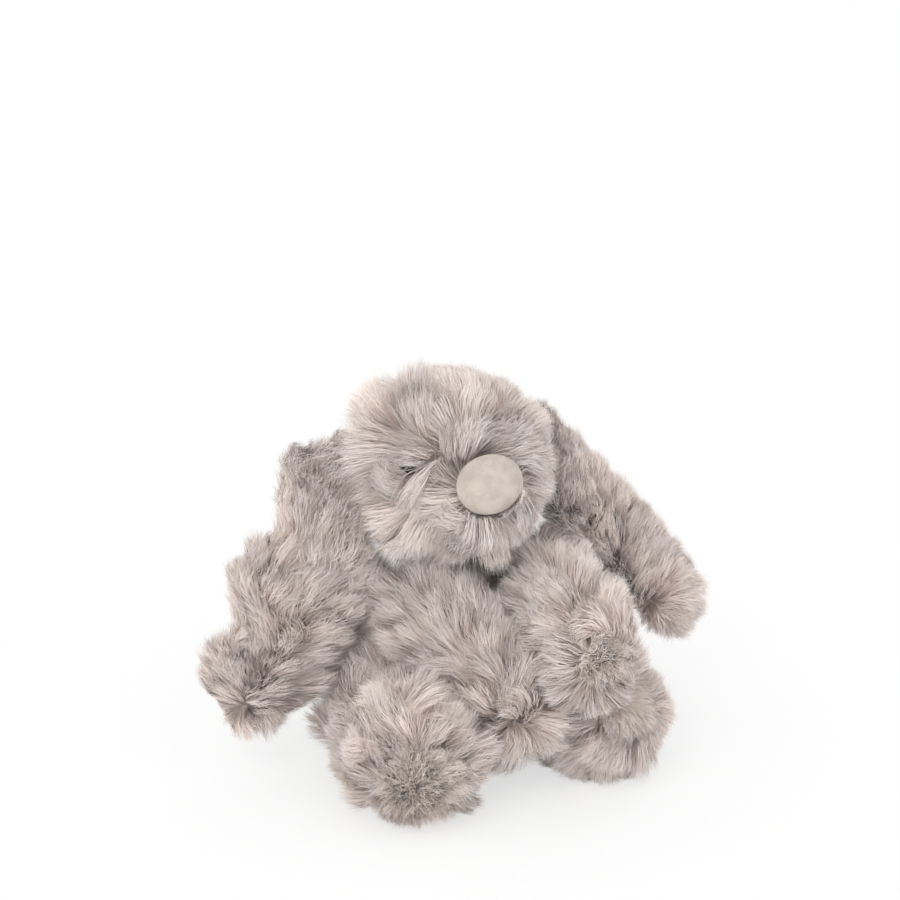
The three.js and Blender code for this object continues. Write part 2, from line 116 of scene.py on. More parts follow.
def in_view(pixel):
    """A pixel as shares of half the view, to the right and up."""
    middle = PHOTO_PIXELS / 2
    return (pixel[0] - middle) / middle * HALF_VIEW, (middle - pixel[1]) / middle * HALF_VIEW


def added(name, data):
    """A new object in the scene that shows some data: a mesh, a lamp or a camera."""
    made = bpy.data.objects.new(name, data)
    bpy.context.scene.collection.objects.link(made)
    return made


def aim(turned, line):
    """Turns a camera or a lamp, which look along their own -Z, to look along a line."""
    turned.rotation_mode = "QUATERNION"
    turned.rotation_quaternion = Vector(line).to_track_quat("-Z", "Y")


seat_right, seat_up = in_view(SEAT_PIXEL)
CAMERA_PLACE = CAMERA_DISTANCE * (CAMERA_BACK - seat_right * CAMERA_RIGHT - seat_up * CAMERA_UP)

camera = added("camera", bpy.data.cameras.new("camera"))
camera.data.lens, camera.data.sensor_width = LENS_MM, SENSOR_MM
camera.data.clip_start, camera.data.clip_end = CLIP_START, CLIP_END
camera.location = CAMERA_PLACE
aim(camera, -CAMERA_BACK)
bpy.context.scene.camera = camera
print("camera at", [round(float(x), 3) for x in CAMERA_PLACE])

# %% [markdown]
# # Materials as nets of nodes
#
# A finish in Blender is a net of small nodes, each of which works out one thing, such as a tone or a height.
# The nets could be drawn by hand in the shader editor. Written down they can be read, and what several of
# them need is a function.

# %% Shader nodes
def link(tree, source, target):
    tree.links.new(source, target)


def node(tree, kind, **settings):
    """Adds a shader node. A setting in capitals fills an input, and the rest are the node's own."""
    made = tree.nodes.new(kind)
    for name, value in settings.items():
        if name[0].isupper():
            made.inputs[name].default_value = value
        else:
            setattr(made, name, value)
    return made


def material_of(name, roughness, **settings):
    """A plain material, and its tree and its shader, for what the cells below add to it."""
    made = bpy.data.materials.new(name)
    made.use_nodes = True
    shader = made.node_tree.nodes["Principled BSDF"]
    shader.inputs["Roughness"].default_value = roughness
    for setting, value in settings.items():
        shader.inputs[setting.replace("_", " ")].default_value = value
    return made, made.node_tree, shader


def seen_directly(tree):
    """A socket that is 1 for what the camera sees, also in a reflection or through glass, and else 0."""
    path = node(tree, "ShaderNodeLightPath")
    either = node(tree, "ShaderNodeMath", operation="MAXIMUM")
    any_of_three = node(tree, "ShaderNodeMath", operation="MAXIMUM")
    link(tree, path.outputs["Is Camera Ray"], either.inputs[0])
    link(tree, path.outputs["Is Glossy Ray"], either.inputs[1])
    link(tree, either.outputs[0], any_of_three.inputs[0])
    link(tree, path.outputs["Is Transmission Ray"], any_of_three.inputs[1])
    return any_of_three.outputs[0]


print("materials so far:", len(bpy.data.materials))

# %% [markdown]
# # The studio
#
# The toy stands in a white light tent: light comes from all round, a little more from the upper left. A
# world of even light does most of that, two large soft lamps give the fur its shape, and the camera sees
# the world as plain white. The floor is pale and matt, so that it nearly vanishes and keeps a soft shadow.

# %% Light tent
WORLD_LIGHT = 0.89
WHITE = (1, 1, 1, 1)

world = bpy.data.worlds.new("light tent")
bpy.context.scene.world = world
world.use_nodes = True
tent = world.node_tree
tent.nodes.clear()
tent_light = node(tent, "ShaderNodeBackground", Color=WHITE, Strength=WORLD_LIGHT)
tent_seen = node(tent, "ShaderNodeBackground", Color=WHITE, Strength=1.0)
tent_mix = node(tent, "ShaderNodeMixShader")
tent_out = node(tent, "ShaderNodeOutputWorld")
link(tent, seen_directly(tent), tent_mix.inputs["Fac"])
link(tent, tent_light.outputs[0], tent_mix.inputs[1])
link(tent, tent_seen.outputs[0], tent_mix.inputs[2])
link(tent, tent_mix.outputs[0], tent_out.inputs["Surface"])
print("light of the tent:", WORLD_LIGHT)

# %% Lamps
LAMPS = {
    "key": {"watts": 5.6, "size": 1.0, "place": (-0.95, -0.75, 1.15)},
    "fill": {"watts": 0.9, "size": 1.4, "place": (0.9, -0.9, 0.7)},
}
LAMPS_AIM = Vector((0, 0, 0.1))

for name, lamp in LAMPS.items():
    light = bpy.data.lights.new(name, "AREA")
    light.shape, light.size, light.energy = "DISK", lamp["size"], lamp["watts"]
    hung = added(name, light)
    hung.location = lamp["place"]
    aim(hung, LAMPS_AIM - hung.location)
print("lamps:", {name: lamp["watts"] for name, lamp in LAMPS.items()})

# %% Floor
FLOOR_SIZE = 12.0
FLOOR_COLOUR = (0.99, 0.99, 0.99, 1)
FLOOR_WHITENED = 0.66  # how plainly white the camera sees the floor under the toy: it is 1 further out
WHITER_FROM, WHITER_TO = 0.10, 0.30  # metres from the middle

half = FLOOR_SIZE / 2
floor_mesh = bpy.data.meshes.new("floor")
floor_mesh.from_pydata(
    [(-half, -half, 0), (half, -half, 0), (half, half, 0), (-half, half, 0)], [], [(0, 1, 2, 3)]
)
floor = added("floor", floor_mesh)
floor_paint, floor_tree, floor_shader = material_of(
    "pale floor", 0.9, Base_Color=FLOOR_COLOUR, Specular_IOR_Level=0.1
)
floor_place = node(floor_tree, "ShaderNodeTexCoord")
floor_far = node(floor_tree, "ShaderNodeVectorMath", operation="LENGTH")
floor_fade = node(floor_tree, "ShaderNodeMapRange")
floor_fade.inputs["From Min"].default_value = WHITER_FROM
floor_fade.inputs["From Max"].default_value = WHITER_TO
floor_fade.inputs["To Min"].default_value = FLOOR_WHITENED
floor_share = node(floor_tree, "ShaderNodeMath", operation="MULTIPLY")
floor_white = node(floor_tree, "ShaderNodeEmission", Strength=1.0)
floor_mix = node(floor_tree, "ShaderNodeMixShader")
link(floor_tree, floor_place.outputs["Object"], floor_far.inputs[0])
link(floor_tree, floor_far.outputs["Value"], floor_fade.inputs["Value"])
link(floor_tree, seen_directly(floor_tree), floor_share.inputs[0])
link(floor_tree, floor_fade.outputs["Result"], floor_share.inputs[1])
link(floor_tree, floor_share.outputs[0], floor_mix.inputs["Fac"])
link(floor_tree, floor_shader.outputs["BSDF"], floor_mix.inputs[1])
link(floor_tree, floor_white.outputs["Emission"], floor_mix.inputs[2])
link(floor_tree, floor_mix.outputs["Shader"], floor_tree.nodes["Material Output"].inputs["Surface"])
floor_mesh.materials.append(floor_paint)
bpy.context.scene.view_settings.view_transform = "Standard"
print("floor:", FLOOR_SIZE, "m wide")

# %% [markdown]
# # Soft forms
#
# A toy maker sews flat panels into bags and fills them. Filled, each bag is round in section, swells where
# the panel is wide and closes in a rounded end. One description does for them all: a path through the
# middle, a width and a thickness along it, and how far each end rounds off. It could also be sculpted, but
# a description can be asked things: where is the skin at this depth, and which way is out from here? The
# pile needs both.

# %% Soft forms
PILE_DEPTH = 10 * MM  # from the outside of the laid pile down to the backing
PATH_STEPS = 96
COARSE = 3  # every third step of a path is near enough to find where a point lies along it
CHUNK = 20000  # points that are compared with a path at once, to spare memory
PROFILE_STEPS = 60  # for each rounded end, and for the stretch between them
ROUNDING_KEPT = 0.6  # how much less an end rounds, as a share of how deep the skin lies


def direction(heading, slope):
    """Heading 0 is forwards and 90 the rabbit's left, and a slope points downwards, both in degrees."""
    turn, dip = np.radians(heading), np.radians(slope)
    return np.stack([np.sin(turn) * np.cos(dip), -np.cos(turn) * np.cos(dip), -np.sin(dip)], -1)


def swell(*pairs):
    """A smooth value along a form, from pairs of a share of its length and the value there."""
    places = [place for place, _ in pairs]
    sizes = [size for _, size in pairs]

    def size_at(share):
        found = np.full(np.shape(share), float(sizes[0]))
        for k in range(len(pairs) - 1):
            grown = smoothstep(places[k], places[k + 1], share)
            found = found + (sizes[k + 1] - sizes[k]) * grown
        return found

    return size_at


class SoftForm:
    """A bag of cloth along a path. The path's direction turns evenly from its start to its end."""

    def __init__(self, start, heading, slope, length, across, wide, thick, roundings, squareness=2.0):
        self.start, self.length = np.array(start, float), length
        self.heading, self.slope = heading, slope
        self.across = np.array(across, float)
        self.wide, self.thick = wide, thick
        self.roundings, self.squareness = roundings, squareness
        middles = (np.arange(PATH_STEPS) + 0.5) / PATH_STEPS
        steps = self.forwards(middles) * length / PATH_STEPS
        self.line = np.vstack([np.zeros(3), np.cumsum(steps, 0)]) + self.start
        self.shares = np.linspace(0, 1, PATH_STEPS + 1)

    def forwards(self, share):
        heading = self.heading[0] + (self.heading[1] - self.heading[0]) * share
        slope = self.slope[0] + (self.slope[1] - self.slope[0]) * share
        return direction(heading, slope)

    def axes(self, share):
        """The form's own directions at a share of its length: forwards, to the side and to its face."""
        forwards = self.forwards(share)
        side = unit(self.across - (forwards @ self.across)[..., None] * forwards)
        return forwards, side, np.cross(forwards, side)

    def middle(self, share):
        return np.stack([np.interp(share, self.shares, self.line[:, k]) for k in range(3)], -1)

    def profile(self, depth):
        """Distances along the form from one end to the other, and the size of the section at each."""
        first = self.roundings[0] - ROUNDING_KEPT * depth
        last = self.roundings[1] - ROUNDING_KEPT * depth
        inner = self.length - 2 * depth
        turn = np.linspace(0, math.pi / 2, PROFILE_STEPS)
        power = 2 / self.squareness
        at = [
            first * (1 - np.cos(turn) ** power),
            np.linspace(first, inner - last, PROFILE_STEPS + 2)[1:-1],
            inner - last * (1 - np.sin(turn)),
        ]
        size = [np.sin(turn) ** power, np.ones(PROFILE_STEPS), np.cos(turn)]
        return np.concatenate(at) + depth, np.concatenate(size)

    def place(self, turn, angle, depth):
        """A point on the skin at a depth. turn is a place in the profile, and angle goes round."""
        at, size = self.profile(depth)
        steps = np.arange(len(at))
        share = np.interp(turn, steps, at) / self.length
        grown = np.interp(turn, steps, size)
        _, side, face = self.axes(share)
        out = np.cos(angle) * (self.wide(share) / 2 - depth) * grown
        up = np.sin(angle) * (self.thick(share) / 2 - depth) * grown
        return self.middle(share) + out[..., None] * side + up[..., None] * face

    def nearest_step(self, points):
        """The number of the step of the path that lies nearest to each point."""
        nearest = np.zeros(len(points), int)
        for low in range(0, len(points), CHUNK):
            part = points[low:low + CHUNK]
            gaps = ((part[:, None, :] - self.line[None, ::COARSE, :]) ** 2).sum(-1)
            nearest[low:low + CHUNK] = COARSE * gaps.argmin(1)
        return nearest

    def seen_from_inside(self, points):
        """For points anywhere: the way out of the form, and how deep they lie under its outside."""
        nearest = self.nearest_step(points)
        share = self.shares[nearest]
        forwards, _, _ = self.axes(share)
        along = ((points - self.line[nearest]) * forwards).sum(-1)
        at = share * self.length + along
        first, last = self.roundings
        held = np.clip(at, first, max(self.length - last, first)) / self.length
        forwards, side, face = self.axes(held)
        away = points - self.middle(held)
        rounding = np.where(at < self.length / 2, first, last)
        scale = np.stack([rounding, self.wide(held) / 2, self.thick(held) / 2], -1)
        local = np.stack([(away * forwards).sum(-1), (away * side).sum(-1), (away * face).sum(-1)], -1)
        local[:, 0] *= (at < first) | (at > self.length - last)
        slope = local / scale ** 2
        out = unit(slope[:, :1] * forwards + slope[:, 1:2] * side + slope[:, 2:] * face)
        reach = np.linalg.norm(local / scale, axis=-1)
        depth = np.linalg.norm(local, axis=-1) * (1 / np.maximum(reach, 1e-9) - 1)
        return out, depth


print("profile points:", 3 * PROFILE_STEPS)

# %% [markdown]
# # Even places all over a form
#
# Hair grows evenly on a pelt, but not in rows that the eye could find. So the places for it go round a form
# in rings that are evenly far apart, and each is then moved a little at random. Points strewn wholly at
# random would leave bald spots.

# %% Places on a form
SCATTER_ANGLES = 73  # points of an outline, along which the places of a ring are spaced
JITTER = 0.8  # how far a point may stray from its place in an even row, as a share of the spacing


def scatter(form, spacing, rng):
    """Even but jittered points all over a form: places in its profile, and angles round it."""
    at, size = form.profile(0)
    share = at / form.length
    half_width, half_thickness = size * form.wide(share) / 2, size * form.thick(share) / 2
    grow = np.hypot(np.diff(at), np.diff(np.maximum(half_width, half_thickness)))
    arc = np.concatenate([[0], np.cumsum(grow)])
    steps = np.arange(len(at))
    round_angles = np.linspace(0, 2 * math.pi, SCATTER_ANGLES)
    turns, angles = [], []
    for row in np.arange(spacing / 2, arc[-1], spacing):
        wide, thick = np.interp(row, arc, half_width), np.interp(row, arc, half_thickness)
        ring = np.stack([np.cos(round_angles) * wide, np.sin(round_angles) * thick], -1)
        walked = np.concatenate([[0], np.cumsum(np.linalg.norm(np.diff(ring, axis=0), axis=1))])
        count = max(1, round(walked[-1] / spacing))
        places = (np.arange(count) + rng.random() + JITTER * (rng.random(count) - 0.5)) / count % 1
        angles.append(np.interp(places * walked[-1], walked, round_angles))
        rows = row + JITTER * spacing * (rng.random(count) - 0.5)
        turns.append(np.interp(np.clip(rows, 0, arc[-1]), arc, steps))
    return np.concatenate(turns), np.concatenate(angles)


roll = SoftForm(
    (0, 0, 0), (0, 0), (0, 0), 100 * MM, (1, 0, 0), swell((0, 60 * MM)), swell((0, 60 * MM)),
    (30 * MM, 30 * MM),
)
print("places 10 mm apart on a roll of 100 mm:", len(scatter(roll, 10 * MM, seeded("roll"))[0]))

# %% [markdown]
# # Where the bodies lie
#
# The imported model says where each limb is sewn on: that is where its joint turns. From there each form
# runs in its own direction. The widths repeat the sizes in the part's source, so that the pile grows
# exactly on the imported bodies.

# %% Head and muzzle
joint_place = {joint["name"]: np.array(joint["pos_m"]) for joint in frame["joints"]}
FACE_HEADING, FACE_SLOPE = -3, -9
HEAD_MIDDLE = np.array([-6, 0, 160]) * MM
HEAD_WIDTH, HEAD_DEPTH, HEAD_HEIGHT = 100 * MM, 92 * MM, 98 * MM
MUZZLE_WIDTH, MUZZLE_DEPTH, MUZZLE_HEIGHT = 62 * MM, 64 * MM, 58 * MM
MUZZLE_FORWARDS, MUZZLE_DROP = 22 * MM, 7 * MM
NOSE_FORWARDS = 52.5 * MM

face_forwards = direction(FACE_HEADING, FACE_SLOPE)
face_side = direction(FACE_HEADING + 90, 0)
face_up = np.cross(face_side, face_forwards) * -1
NOSE_MIDDLE = HEAD_MIDDLE + NOSE_FORWARDS * face_forwards


def ball(middle, heading, slope, length, width, height):
    """An egg along a line: a form that is nothing but its two rounded ends."""
    start = np.array(middle) - direction(heading, slope) * length / 2
    side = direction(heading + 90, 0)
    return SoftForm(
        start, (heading, heading), (slope, slope), length, side,
        swell((0, width), (1, width)), swell((0, height), (1, height)), (length / 2, length / 2),
    )


print("middle of the nose at", np.round(NOSE_MIDDLE / MM), "mm")

# %% [markdown]
# # The torso, the ears and the limbs
#
# The torso is a pear that stands on its wide end. The ears are long flat bags, and the arms and legs plump
# rolls that swell towards the paw. Left and right differ only in how they lie, apart from the sole that is
# nearer to the camera, so one function makes both.

# %% Torso, ears, arms and legs
SEAT_PRESSED = 0.5 * MM  # the seat is flattened by as much where the toy sits on it
TORSO_ROUNDINGS, TORSO_SQUARENESS = (26 * MM, 34 * MM), 2.6
EAR_LENGTH, EAR_THICKNESS, EAR_ROUNDINGS = 175 * MM, 23 * MM, (10 * MM, 20 * MM)
ARM_LENGTH, ARM_INSIDE, ARM_ROUNDINGS = 118 * MM, 14 * MM, (18.5 * MM, 0.42 * 47 * MM)
LEG_LENGTH, LEG_INSIDE, LEG_ROUNDINGS = 117 * MM, 20 * MM, (32.5 * MM, 27.3 * MM)
LEG_HEADING = 9
RIGHT_LEG_LONGER, RIGHT_SOLE_ROUNDING = 2 * MM, 20 * MM  # the nearer sole looks flatter in the photograph


def torso_form():
    wide = swell((0, 88 * MM), (0.3, 108 * MM), (0.8, 100 * MM))
    thick = swell((0, 76 * MM), (0.3, 83 * MM), (0.8, 52 * MM))
    _, torso_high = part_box("torso_pelt")
    return SoftForm(
        (0, 0, -SEAT_PRESSED), (180, 180), (-90, -90), torso_high.z + SEAT_PRESSED, (1, 0, 0),
        wide, thick, TORSO_ROUNDINGS, TORSO_SQUARENESS,
    )


def ear_form(side, slope, flare):
    """side is -1 for the rabbit's right. flare turns the ear's face to the outside, in degrees."""
    name = "right_ear_lift" if side < 0 else "left_ear_lift"
    turn = math.radians(flare)
    return SoftForm(
        joint_place[name], (side * 90, side * 90), slope, EAR_LENGTH,
        (math.cos(turn), side * math.sin(turn), 0),
        swell((0, 40 * MM), (0.45, 60 * MM), (0.75, 60 * MM), (1, 44 * MM)),
        swell((0, EAR_THICKNESS), (1, EAR_THICKNESS)), EAR_ROUNDINGS,
    )


def arm_form(side, heading, slope):
    shoulder = joint_place["right_arm_lift" if side < 0 else "left_arm_lift"]
    girth = swell((0, 37 * MM), (0.45, 44 * MM), (0.8, 47 * MM))
    start = shoulder - direction(heading, slope) * ARM_INSIDE
    return SoftForm(
        start, (heading, heading), (slope, slope), ARM_LENGTH, (1, 0, 0), girth, girth, ARM_ROUNDINGS
    )


def leg_form(side):
    hip = joint_place["right_leg_spread" if side < 0 else "left_leg_spread"]
    heading = side * LEG_HEADING
    girth = swell((0.35, 65 * MM), (0.5, 59 * MM), (0.7, 65 * MM))
    start = hip - direction(heading, 0) * LEG_INSIDE
    length, roundings = LEG_LENGTH, LEG_ROUNDINGS
    if side < 0:
        length, roundings = LEG_LENGTH + RIGHT_LEG_LONGER, (LEG_ROUNDINGS[0], RIGHT_SOLE_ROUNDING)
    return SoftForm(start, (heading, heading), (0, 0), length, (1, 0, 0), girth, girth, roundings)


def tail_form():
    low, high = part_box("tail_pelt")
    width = high.x - low.x
    middle = (low + high) / 2
    middle.y = high.y - width / 2
    return ball(middle, 180, 0, width, width, width)


FORMS = {
    "torso": torso_form(),
    "head": ball(HEAD_MIDDLE, FACE_HEADING, FACE_SLOPE, HEAD_DEPTH, HEAD_WIDTH, HEAD_HEIGHT),
    "muzzle": ball(
        HEAD_MIDDLE + MUZZLE_FORWARDS * face_forwards - MUZZLE_DROP * face_up,
        FACE_HEADING, FACE_SLOPE, MUZZLE_DEPTH, MUZZLE_WIDTH, MUZZLE_HEIGHT,
    ),
    "right_ear": ear_form(-1, slope=(42, 87), flare=24),
    "left_ear": ear_form(1, slope=(45, 55), flare=36),
    "right_arm": arm_form(-1, heading=29, slope=37),
    "left_arm": arm_form(1, heading=-1, slope=12),
    "right_leg": leg_form(-1),
    "left_leg": leg_form(1),
    "tail": tail_form(),
}
for name, form in FORMS.items():
    print(name, "runs from", np.round(form.line[0] / MM), "to", np.round(form.line[-1] / MM))

# %% [markdown]
# # Meshes from arrays
#
# A mesh of a million faces would take minutes to add face by face. Blender can also take whole arrays at
# once, which takes a blink. Each piece is built at the origin of the frame, rides on its body, hides the
# imported pieces that it stands for and takes its finish.

# %% Making a piece
def bare_mesh(name, corners, loops, starts):
    """corners are points, loops lists the corners of one face after another, and starts splits that list."""
    mesh = bpy.data.meshes.new(name)
    mesh.vertices.add(len(corners))
    mesh.vertices.foreach_set("co", np.asarray(corners, np.float32).ravel())
    mesh.loops.add(len(loops))
    mesh.loops.foreach_set("vertex_index", loops.astype(np.int32))
    mesh.polygons.add(len(starts))
    mesh.polygons.foreach_set("loop_start", starts.astype(np.int32))
    mesh.update(calc_edges=True)
    return mesh


def mesh_of(name, corners, faces):
    """A smooth mesh. faces is an array of the numbers of corners, with as many for each face."""
    mesh = bare_mesh(name, corners, faces.ravel(), np.arange(0, faces.size, faces.shape[1]))
    mesh.polygons.foreach_set("use_smooth", np.ones(len(faces), bool))
    return mesh


def piece(name, mesh, body, material, replaces=()):
    """Puts a mesh in the scene as a piece of a body, with its material, and hides the imported pieces it
    replaces.
    """
    made = added(name, mesh)
    mesh.materials.clear()
    mesh.materials.append(material)
    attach(made, body)
    if replaces:
        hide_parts(*replaces)


# %% [markdown]
# # Closed skins
#
# Every bag, and the nose, the eyes and the pouches too, is a skin of rings: each ring of corners is joined
# to the next by triangles, and a single corner closes each end. So one function makes all their triangles,
# and only the places of the corners differ.

# %% Closed skins
def closed(rows, columns):
    """The triangles of rings of corners in order, with a pole before the first and after the last."""
    ring = np.arange(columns)
    following = (ring + 1) % columns
    low = (np.arange(rows - 1) * columns)[:, None]
    walls = np.stack([low + ring, low + following, low + columns + following, low + columns + ring], -1)
    walls = walls.reshape(-1, 4)
    top = (rows - 1) * columns
    return np.vstack([
        walls[:, [0, 1, 2]], walls[:, [0, 2, 3]],
        np.stack([ring * 0 + rows * columns, following, ring], -1),
        np.stack([ring * 0 + rows * columns + 1, top + ring, top + following], -1),
    ])


def outwards(corners, triangles):
    """Turns all triangles round if they face the middle of the piece."""
    a, b, c = (corners[triangles[:, k]] - corners.mean(0) for k in range(3))
    return triangles if (np.cross(a, b) * c).sum() > 0 else triangles[:, ::-1]


def skin(form, depth, rows, columns):
    """The closed surface of a form at a depth: rings of corners, and a pole at each end."""
    last = 3 * PROFILE_STEPS - 1
    turn = np.linspace(0, last, rows + 2)[1:-1]
    angle = np.linspace(0, 2 * math.pi, columns, endpoint=False)
    rings = form.place(np.repeat(turn, columns), np.tile(angle, rows), depth)
    poles = form.place(np.array([0, last]), np.array([0, 0]), depth)
    return np.vstack([rings, poles]), closed(rows, columns)


print("triangles of the torso's skin:", len(skin(FORMS["torso"], 0, 40, 48)[1]))

# %% [markdown]
# # The finish of the pile
#
# Each hair is darker at its root and paler at its tip: painted shade at the root, where little light gets
# in, and painted light at the tip. No two locks have just the same tone either: the dye takes a little
# differently, and it runs from a cool grey to a warm beige.
# Near where the bodies meet, the hair is painted darker, as painted shade. The hairs carry two numbers for
# this. One runs from root to tip, the other holds the tone of the hair, and the colour is worked out from
# these two alone. Hair shaders would be the usual way, but these hairs are real meshes, which any program
# can show.

# %% Pile finish
# painted shade at the root and painted light at the tip of each hair
PILE_ROOT = (0.50, 0.410, 0.362, 1)
PILE_BODY = (0.93, 0.826, 0.776, 1)
PILE_TIP = (1.00, 0.930, 0.885, 1)
# The tone of the painted shade, at the dark end of the ramp of tones.
SHADED_TONE = (0.62, 0.565, 0.530, 1)
COOL_TONE = (0.86, 0.860, 0.880, 1)
WARM_TONE = (1.06, 1.045, 1.02, 1)
BODY_AT, COOL_AT = 0.55, 0.25  # between the two ends of a ramp
MIX_A, MIX_B, MIX_RESULT = 6, 7, 2  # the numbers of a mix node's sockets for colours


def ramp(tree, *stops):
    """A ramp of colours. The stops at its two ends come first, and then any between them."""
    made = tree.nodes.new("ShaderNodeValToRGB")
    band = made.color_ramp
    band.interpolation = "EASE"
    for k, (place, colour) in enumerate(stops):
        stop = band.elements[k] if k < 2 else band.elements.new(place)
        stop.position, stop.color = place, colour
    return made


pile, pile_tree, pile_shader = material_of(
    "pile", 0.72, Sheen_Weight=0.25, Sheen_Roughness=0.5, Specular_IOR_Level=0.3
)
pile_map = node(pile_tree, "ShaderNodeUVMap", uv_map="OFBake")
pile_parts = node(pile_tree, "ShaderNodeSeparateXYZ")
along_hair = ramp(pile_tree, (0.0, PILE_ROOT), (1.0, PILE_TIP), (BODY_AT, PILE_BODY))
hair_tone = ramp(pile_tree, (0.0, SHADED_TONE), (1.0, WARM_TONE), (COOL_AT, COOL_TONE))
toned = node(pile_tree, "ShaderNodeMix", data_type="RGBA", blend_type="MULTIPLY", Factor=1.0)
link(pile_tree, pile_map.outputs["UV"], pile_parts.inputs[0])
link(pile_tree, pile_parts.outputs["Y"], along_hair.inputs["Fac"])
link(pile_tree, pile_parts.outputs["X"], hair_tone.inputs["Fac"])
link(pile_tree, along_hair.outputs["Color"], toned.inputs[MIX_A])
link(pile_tree, hair_tone.outputs["Color"], toned.inputs[MIX_B])
link(pile_tree, toned.outputs[MIX_RESULT], pile_shader.inputs["Base Color"])
print("pile roughness:", pile_shader.inputs["Roughness"].default_value)

# %% [markdown]
# # The nap
#
# Plush has a nap: stroke it one way and it lies flat. On each limb of this toy the nap starts from a whorl
# at the end of the paw or sole, where the hair stands up in short curls, and runs back to the body. On the
# face it starts round the nose and, in a small fan of its own, round each eye. The whorls are where the
# photograph shows them, so a ray from the camera through each pixel finds the spot on the form.

# %% Whorls
WHORL_PIXELS = {
    "right_arm": (513, 728),
    "left_arm": (607, 666),
    "right_leg": (421, 797),
    "left_leg": (630, 699),
    "right_ear": (237, 716),
    "left_ear": (652, 606),
}
EYE_PIXEL = (404, 467)
FACE_WHORL_FORWARDS = 44 * MM  # from the middle of the head
SEEN_ROWS, SEEN_COLUMNS = 60, 48  # of the skin that the rays meet
NEAR_TIP = 0.9  # the share of a form's length that a ray which misses it is held against


def surface_at(form, pixel):
    """The place on a form's outside that the camera sees at a pixel, or the nearest one to that ray."""
    corners, triangles = skin(form, 0, SEEN_ROWS, SEEN_COLUMNS)
    tree = BVHTree.FromPolygons(corners.tolist(), triangles.tolist())
    right, up = in_view(pixel)
    ray = Vector(-CAMERA_BACK + right * CAMERA_RIGHT + up * CAMERA_UP).normalized()
    hit = tree.ray_cast(Vector(CAMERA_PLACE), ray)[0]
    if hit is None:
        reach = (Vector(form.middle(NEAR_TIP)) - Vector(CAMERA_PLACE)).dot(ray)
        hit = tree.find_nearest(Vector(CAMERA_PLACE) + reach * ray)[0]
    return np.array(hit)


WHORLS = {name: surface_at(FORMS[name], pixel) for name, pixel in WHORL_PIXELS.items()}
for name in ("torso", "tail"):
    WHORLS[name] = FORMS[name].middle(1.0)
for name in ("head", "muzzle"):
    WHORLS[name] = HEAD_MIDDLE + FACE_WHORL_FORWARDS * face_forwards
right_eye_place = surface_at(FORMS["head"], EYE_PIXEL)
across = (right_eye_place - HEAD_MIDDLE) @ face_side
EYES = [right_eye_place, right_eye_place - 2 * across * face_side]
for name, whorl in WHORLS.items():
    print("nap of", name, "starts at", np.round(whorl / MM), "mm")

# %% [markdown]
# # How each body's pile grows
#
# A pelt is cut from one cloth, but wear, washing and brushing change it from place to place. These are the
# habits of each body's pile. backing is how deep the cloth lies, hair how long the pile is and lift how far
# it stands off. swirl and toss say how much neighbouring locks turn together, or each its own way. lock is
# a lock's width, and disc and stubble are the size and the length of the short hair on a sole. The values
# were set against the photograph, a body at a time.

# %% Habits of the pile
ON_FACE = ("head", "muzzle")


def pelt(backing, hair, lift, swirl, toss, lock, disc=0, stubble=15):
    """How the pile of a form grows. Lengths are given in millimetres, and lift as an angle."""
    return {
        "backing": backing * MM, "hair": hair * MM, "lift": lift, "disc": disc * MM, "swirl": swirl,
        "toss": toss, "lock": lock * MM, "stubble": stubble * MM,
    }


PELTS = {
    "torso": pelt(backing=4, hair=28, lift=-0.15, swirl=0.35, toss=0.8, lock=9),
    "head": pelt(backing=7, hair=27, lift=0.12, swirl=0.55, toss=1.4, lock=11),
    "muzzle": pelt(backing=7, hair=25, lift=0.10, swirl=0.55, toss=1.4, lock=9.5),
    "right_ear": pelt(backing=9, hair=24, lift=0.0, swirl=0.30, toss=0.7, lock=8),
    "left_ear": pelt(backing=9, hair=22, lift=0.0, swirl=0.25, toss=0.7, lock=8),
    "right_arm": pelt(backing=6, hair=27, lift=0.10, swirl=0.22, toss=0.8, lock=9),
    "left_arm": pelt(backing=6, hair=23, lift=0.06, swirl=0.35, toss=1.1, lock=9, disc=12, stubble=12),
    "right_leg": pelt(backing=8, hair=26, lift=0.05, swirl=0.35, toss=1.1, lock=9, disc=24, stubble=18),
    "left_leg": pelt(backing=8, hair=24, lift=0.05, swirl=0.30, toss=0.8, lock=9, disc=16),
    "tail": pelt(backing=9, hair=24, lift=0.10, swirl=0.30, toss=0.6, lock=8),
}
SOLES = {  # the way that each flat end faces
    "right_leg": direction(-17, -16),
    "left_leg": direction(4, -10),
    "left_arm": direction(-14, -12),
}
print("longest pile:", max(habit["hair"] for habit in PELTS.values()) / MM, "mm")

# %% [markdown]
# # Paths along the nap
#
# A hair leaves the cloth at a steep angle, bends over along the nap and droops a little at its end. So a
# path is followed in short steps, each from where the last one ended: at every step the form says which way
# is out, and the whorls say which way the nap runs. On a sole the short hair stands straight off the flat
# end and fans out instead. Combing guide hairs by hand would do too, but could not be repeated.

# %% Paths along the nap
SEGMENTS = 5
RISE_AT_ROOT, RISE_AT_TIP = math.radians(62), math.radians(17)  # between the hair and the cloth
DROOP = 0.16  # how much the tip bends down, as a share of a step
EYE_FAN, EYE_FAN_WEIGHT = 10 * MM, 1.7
CHEEK_PULL, CHEEK_ZONE = 0.25, (-30, 40)  # how much a cheek's hair hangs, and where, in mm above the nose
SOLE_FAN = 1.10  # how much hair at the edge of a sole leans outwards, as a share of a step


